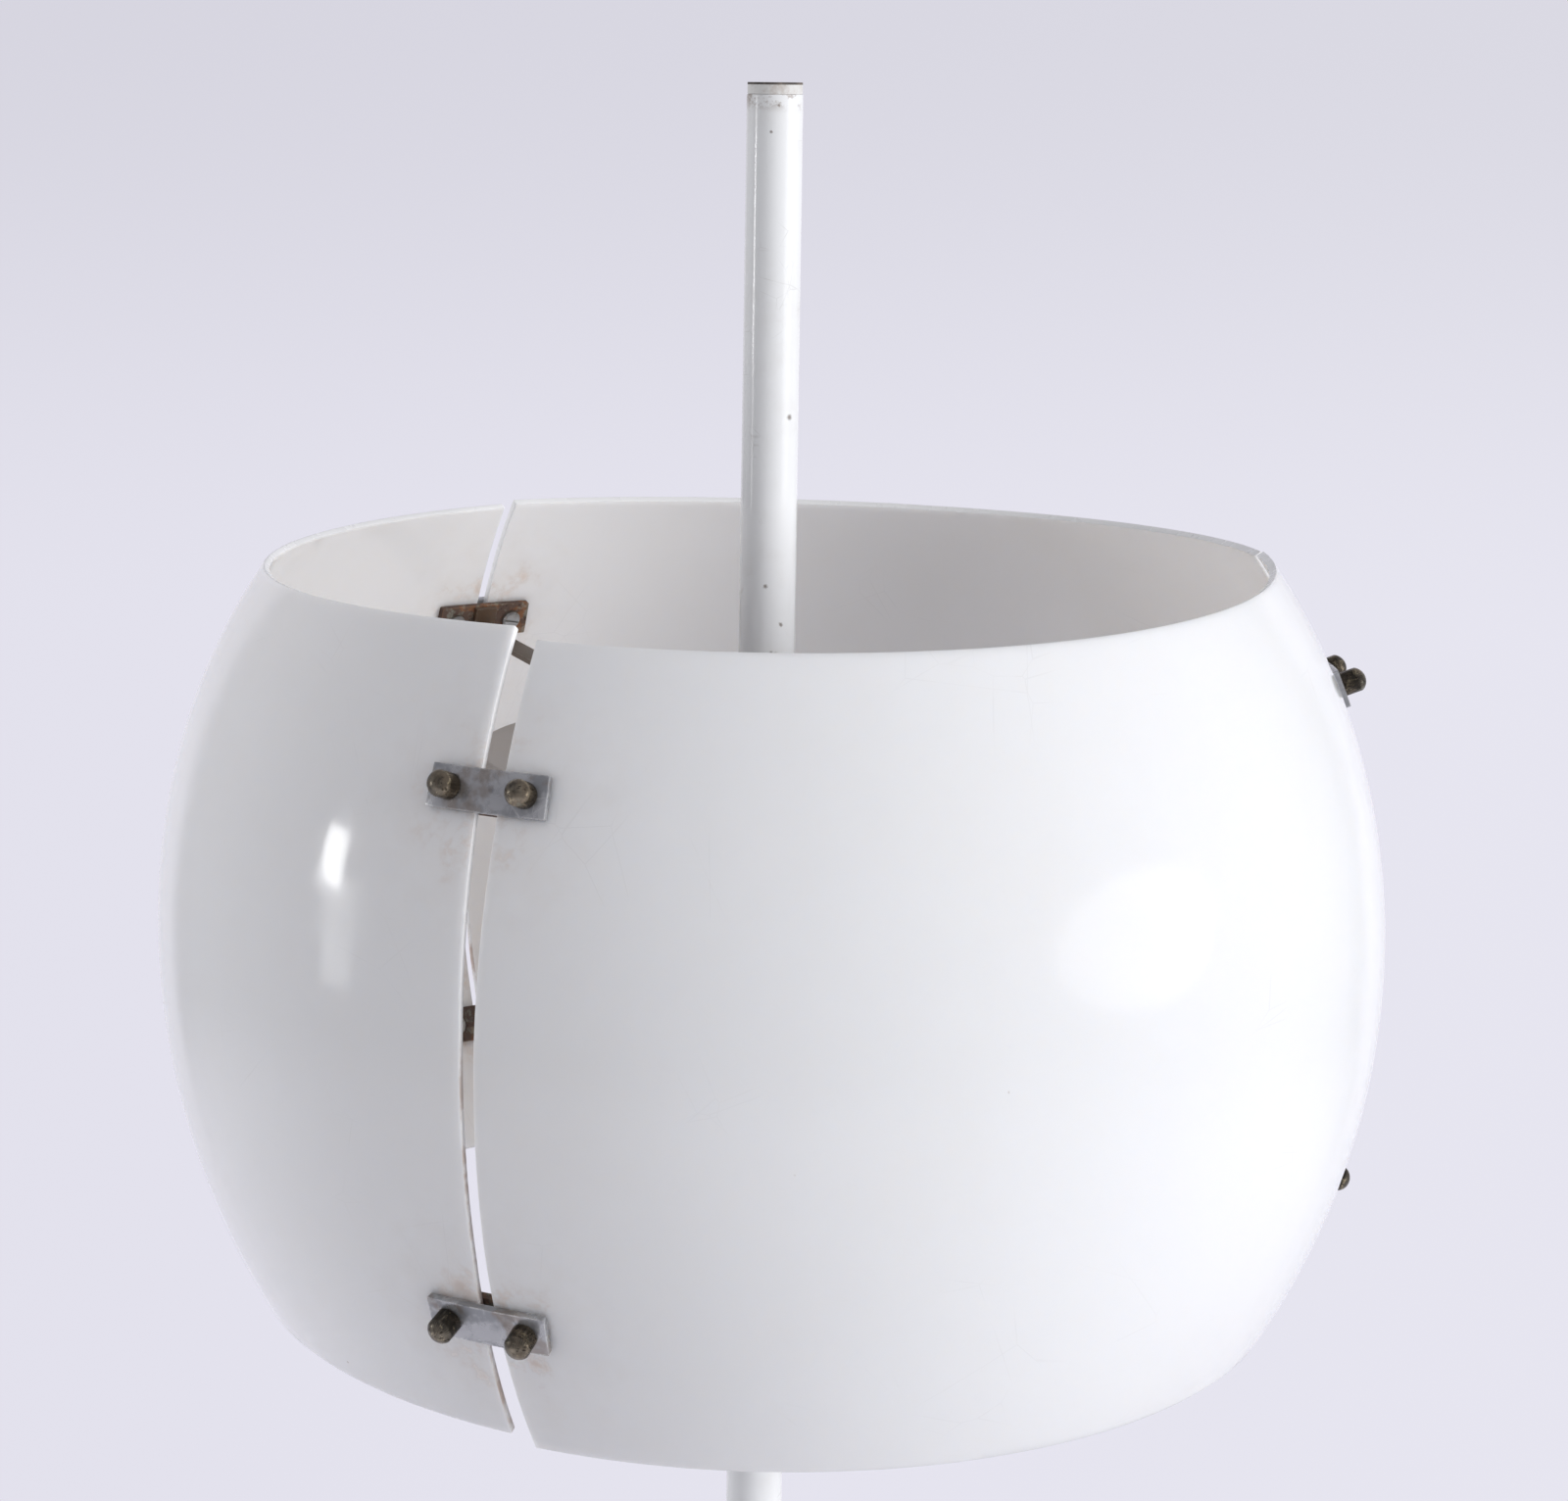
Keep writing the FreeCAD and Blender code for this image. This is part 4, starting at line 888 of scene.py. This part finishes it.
def sideProfile():
    # the shade's side as a line of points: an arc of the upper circle and one of the lower
    s = panelSettings
    arcs = []
    for key, above in (("upperArc", True), ("lowerArc", False)):
        deselectAll()
        bpy.ops.mesh.primitive_circle_add(vertices=s["arcVertices"], radius=shade[key],
                                          fill_type="NOTHING", rotation=(math.pi / 2, 0, 0),
                                          location=(shade["radius"] - shade[key], 0,
                                                    shade["middleHeight"]))
        arc = bpy.context.object
        settle(arc)
        bpy.ops.object.mode_set(mode="EDIT")
        bpy.ops.mesh.select_all(action="SELECT")
        end = shade["top"] + s["overrun"] if above else -shade["bottom"] - s["overrun"]
        middle = Vector((0, 0, shade["middleHeight"]))
        bpy.ops.mesh.bisect(plane_co=middle, plane_no=(0, 0, 1), clear_inner=above,
                            clear_outer=not above)
        bpy.ops.mesh.select_all(action="SELECT")
        bpy.ops.mesh.bisect(plane_co=middle + Vector((0, 0, end)), plane_no=(0, 0, 1),
                            clear_inner=not above, clear_outer=above)
        bpy.ops.mesh.select_all(action="SELECT")
        # the circle's other side goes
        bpy.ops.mesh.bisect(plane_co=(0.1, 0, 0), plane_no=(1, 0, 0), clear_inner=True)
        bpy.ops.object.mode_set(mode="OBJECT")
        arcs.append(arc)
    deselectAll()
    for arc in arcs:
        arc.select_set(True)
    bpy.context.view_layer.objects.active = arcs[0]
    bpy.ops.object.join()
    profile = bpy.context.object
    bpy.ops.object.mode_set(mode="EDIT")
    bpy.ops.mesh.select_all(action="SELECT")
    bpy.ops.mesh.remove_doubles(threshold=s["merge"][0])
    bpy.ops.object.mode_set(mode="OBJECT")
    return profile


def gapAt(height, joint):
    # width of a joint at a height, between the listed ones
    table = jointWidths[joint]
    for (lowZ, lowWidth), (highZ, highWidth) in zip(table, table[1:]):
        if height <= highZ or highZ == table[-1][0]:
            share = (height - lowZ) / (highZ - lowZ)
            return lowWidth + (highWidth - lowWidth) * share


def makePanel(index):
    s = panelSettings
    name = s["names"][index]
    start = math.radians(shade["firstJoint"] + 120 * index)
    panel = sideProfile()
    makeActive(panel)
    bpy.ops.object.mode_set(mode="EDIT")
    bpy.ops.mesh.select_all(action="SELECT")
    bpy.ops.mesh.spin(steps=s["spinSteps"], angle=math.radians(120), center=(0, 0, 0),
                      axis=(0, 0, 1))
    bpy.ops.mesh.select_all(action="SELECT")
    bpy.ops.mesh.remove_doubles(threshold=s["merge"][1])
    bpy.ops.object.mode_set(mode="OBJECT")
    mesh = panel.data
    # the spin may have gone either way round
    side = sum(v.co.y for v in mesh.vertices)
    turnBy = start if side > 0 else start + math.radians(120)
    mesh.transform(Matrix.Rotation(turnBy, 4, "Z"))
    middle = start + math.radians(60)
    across = Vector((-math.sin(middle), math.cos(middle), 0))
    outward = Vector((math.cos(middle), math.sin(middle), 0))
    slope = math.tan(math.radians(s["slope"][index]))
    bpy.ops.object.mode_set(mode="EDIT")
    for edge, above in ((shade["top"], True), (-shade["bottom"], False)):
        bpy.ops.mesh.select_all(action="SELECT")
        rim = Vector((0, 0, shade["middleHeight"] + edge + s["lift"][index]))
        bpy.ops.mesh.bisect(plane_co=rim, plane_no=Vector((0, 0, 1)) - across * slope,
                            clear_inner=not above, clear_outer=above)
    bpy.ops.mesh.select_all(action="SELECT")
    bpy.ops.mesh.normals_make_consistent(inside=False)
    bpy.ops.object.mode_set(mode="OBJECT")
    face = mesh.polygons[len(mesh.polygons) // 2]
    if face.normal.dot(Vector((face.center.x, face.center.y, 0))) < 0:
        bpy.ops.object.mode_set(mode="EDIT")
        bpy.ops.mesh.select_all(action="SELECT")
        bpy.ops.mesh.flip_normals()
        bpy.ops.object.mode_set(mode="OBJECT")
    # each vertex moves along the wall by its share of the open joint, and the rim dips
    half = math.radians(60)
    reach = radiusAt(shade["top"]) * math.sin(half)
    for v in mesh.vertices:
        height = v.co.z - shade["middleHeight"]
        r = math.hypot(v.co.x, v.co.y)
        turned = math.atan2(v.co.dot(across), v.co.dot(outward))
        joint = index if turned < 0 else (index + 1) % 3
        turned *= (half - gapAt(height, joint) / 2 / r) / half
        away = r * math.sin(turned) / reach
        rising = (height - s["dipFrom"]) / (shade["top"] - s["dipFrom"])
        rising = max(0.0, min(1.0, rising))
        dip = shade["rimDip"] * (1 - away ** 2) * rising ** 2
        level = outward * (r * math.cos(turned)) + across * (r * math.sin(turned))
        v.co = level + Vector((0, 0, v.co.z - dip))
    mesh.materials.clear()
    mesh.materials.append(finishes["opal_acrylic"])
    mesh.materials.append(acrylicEdge)
    wall = panel.modifiers.new("wall", "SOLIDIFY")
    wall.thickness = shade["wall"]
    wall.offset = -1
    wall.use_even_offset = True
    wall.material_offset_rim = 1
    edges = panel.modifiers.new("roundedEdges", "BEVEL")
    edges.width = s["bevel"]
    edges.segments = 3
    edges.limit_method = "ANGLE"
    edges.angle_limit = math.radians(50)
    applyAll(panel)
    smooth(panel, 40)
    panel.name = "opal" + name.title().replace("_", "")
    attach(panel, "shade")
    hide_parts(name)
    return panel


panels = [makePanel(index) for index in range(3)]
print("shade panels:", [len(panel.data.polygons) for panel in panels], "faces")


# plates and straps with softened edges
softSettings = {
    "outer_link": {"bevel": 0.00035, "segments": 2},
    "inner_link": {"bevel": 0.00045, "segments": 2},
    "arm": {"bevel": 0.0004, "segments": 2},
}


def softCopy(nodeName, settings):
    # the CAD plate with its sharp edges broken
    source = cadNodes[nodeName]
    mesh = source.data.copy()
    plate = bpy.data.objects.new("soft_" + nodeName, mesh)
    bpy.context.scene.collection.objects.link(plate)
    makeActive(plate)
    bpy.ops.object.mode_set(mode="EDIT")
    bpy.ops.mesh.select_all(action="SELECT")
    bpy.ops.mesh.remove_doubles(threshold=0.00001)
    bpy.ops.mesh.dissolve_limited(angle_limit=math.radians(0.4))
    bpy.ops.object.mode_set(mode="OBJECT")
    bevel = plate.modifiers.new("brokenEdges", "BEVEL")
    bevel.width = settings["bevel"]
    bevel.segments = settings["segments"]
    bevel.limit_method = "ANGLE"
    bevel.angle_limit = math.radians(40)
    applyAll(plate)
    smooth(plate, 30)
    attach(plate, bodyOf[nodeName])
    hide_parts(nodeName)
    return plate


plates = [(nodeName, key) for nodeName in sorted(cadNodes) for key in softSettings
          if nodeName.endswith(("right", "left")) and key in nodeName]
for nodeName, key in plates:
    softCopy(nodeName, softSettings[key])
print("plates and straps softened:", len(plates))


# bullet nuts
nutSettings = {
    "radius": 0.0053,
    "length": 0.0112,
    "dome": 0.0030,
    "foot": 0.0006,
    "footShare": 0.93,
    "bevel": 0.0003,
    "domeSteps": 7,
    "segments": 36,
    "spacing": 0.033,
    "plate": 0.003,
    "turnStep": 0.9,
}


def makeNut():
    # turned nut standing on z = 0: a narrow foot, a straight barrel and a domed end
    s = nutSettings
    deselectAll()
    radius, height = s["radius"] * s["footShare"], s["foot"]
    bpy.ops.mesh.primitive_cylinder_add(vertices=s["segments"], radius=radius, depth=height,
                                        location=(0, 0, height / 2))
    nut = bpy.context.object
    ball = (s["radius"] ** 2 + s["dome"] ** 2) / (2 * s["dome"])
    shoulder = s["length"] - s["dome"]
    rings = [(s["radius"], s["foot"] + s["bevel"]), (s["radius"], shoulder - s["bevel"])]
    for step in range(1, s["domeSteps"] + 1):
        a = math.asin(s["radius"] / ball) * (1 - step / (s["domeSteps"] + 0.6))
        rings.append((ball * math.sin(a) * 0.985, s["length"] - ball + ball * math.cos(a)))
    for r, z in rings:
        top = max(nut.data.polygons, key=lambda face: face.center.z)
        for face in nut.data.polygons:
            face.select = face.index == top.index
        bpy.ops.object.mode_set(mode="EDIT")
        bpy.ops.mesh.select_mode(type="FACE")
        bpy.ops.mesh.extrude_region_move(TRANSFORM_OT_translate={"value": (0, 0, z - height)})
        bpy.ops.transform.resize(value=(r / radius, r / radius, 1), center_override=(0, 0, z))
        bpy.ops.object.mode_set(mode="OBJECT")
        radius, height = r, z
    settle(nut)
    smooth(nut, 32)
    dressNode(nut, finishes["nut_brass"])
    return nut


def standOnWall(piece, height, degrees, out):
    # +Z of the piece turns to the wall's outward direction at that place
    arc = shade["upperArc"] if height >= 0 else shade["lowerArc"]
    lean = math.asin(height / arc)
    tilt = Matrix.Rotation(math.pi / 2 - lean, 4, "Y")
    r = radiusAt(height) + out * math.cos(lean)
    z = shade["middleHeight"] + height + out * math.sin(lean)
    around = Matrix.Rotation(math.radians(degrees), 4, "Z")
    piece.data.transform(around @ Matrix.Translation((r, 0, z)) @ tilt)


def boltPlaces(level):
    places = []
    for index, height in enumerate(linkHeights[level]):
        offset = math.degrees(nutSettings["spacing"] / 2 / radiusAt(height))
        for side in (-1, 1):
            places.append((height, shade["firstJoint"] + 120 * index + side * offset))
    return places


def placeNuts():
    first = makeNut()
    for level in ("upper", "lower"):
        for number, (height, degrees) in enumerate(boltPlaces(level)):
            copy = first.copy()
            copy.data = first.data.copy()
            bpy.context.scene.collection.objects.link(copy)
            copy.data.transform(Matrix.Rotation(nutSettings["turnStep"] * number, 4, "Z"))
            standOnWall(copy, height, degrees, nutSettings["plate"])
            copy.name = level + "Nut" + str(number + 1)
            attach(copy, "shade")
        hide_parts(level + "_link_nuts")
    bpy.data.objects.remove(first)


placeNuts()
print("bullet nuts placed")


# coil spring between the collar below it and the pole above it: a smoothed copy of the CAD spring
# stands in its place
springSettings = {
    "node": "tension_spring",
    "below": "height_collar",
    "above": "pole",
}


def makeSpring():
    s = springSettings
    spring = bpy.data.objects.new("coilSpring", cadNodes[s["node"]].data.copy())
    bpy.context.scene.collection.objects.link(spring)
    makeActive(spring)
    bpy.ops.object.mode_set(mode="EDIT")
    bpy.ops.mesh.select_all(action="SELECT")
    bpy.ops.mesh.remove_doubles(threshold=0.00001)
    bpy.ops.object.mode_set(mode="OBJECT")
    smooth(spring, 60)
    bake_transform(spring)
    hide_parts(s["node"])


makeSpring()
print("coil spring made")
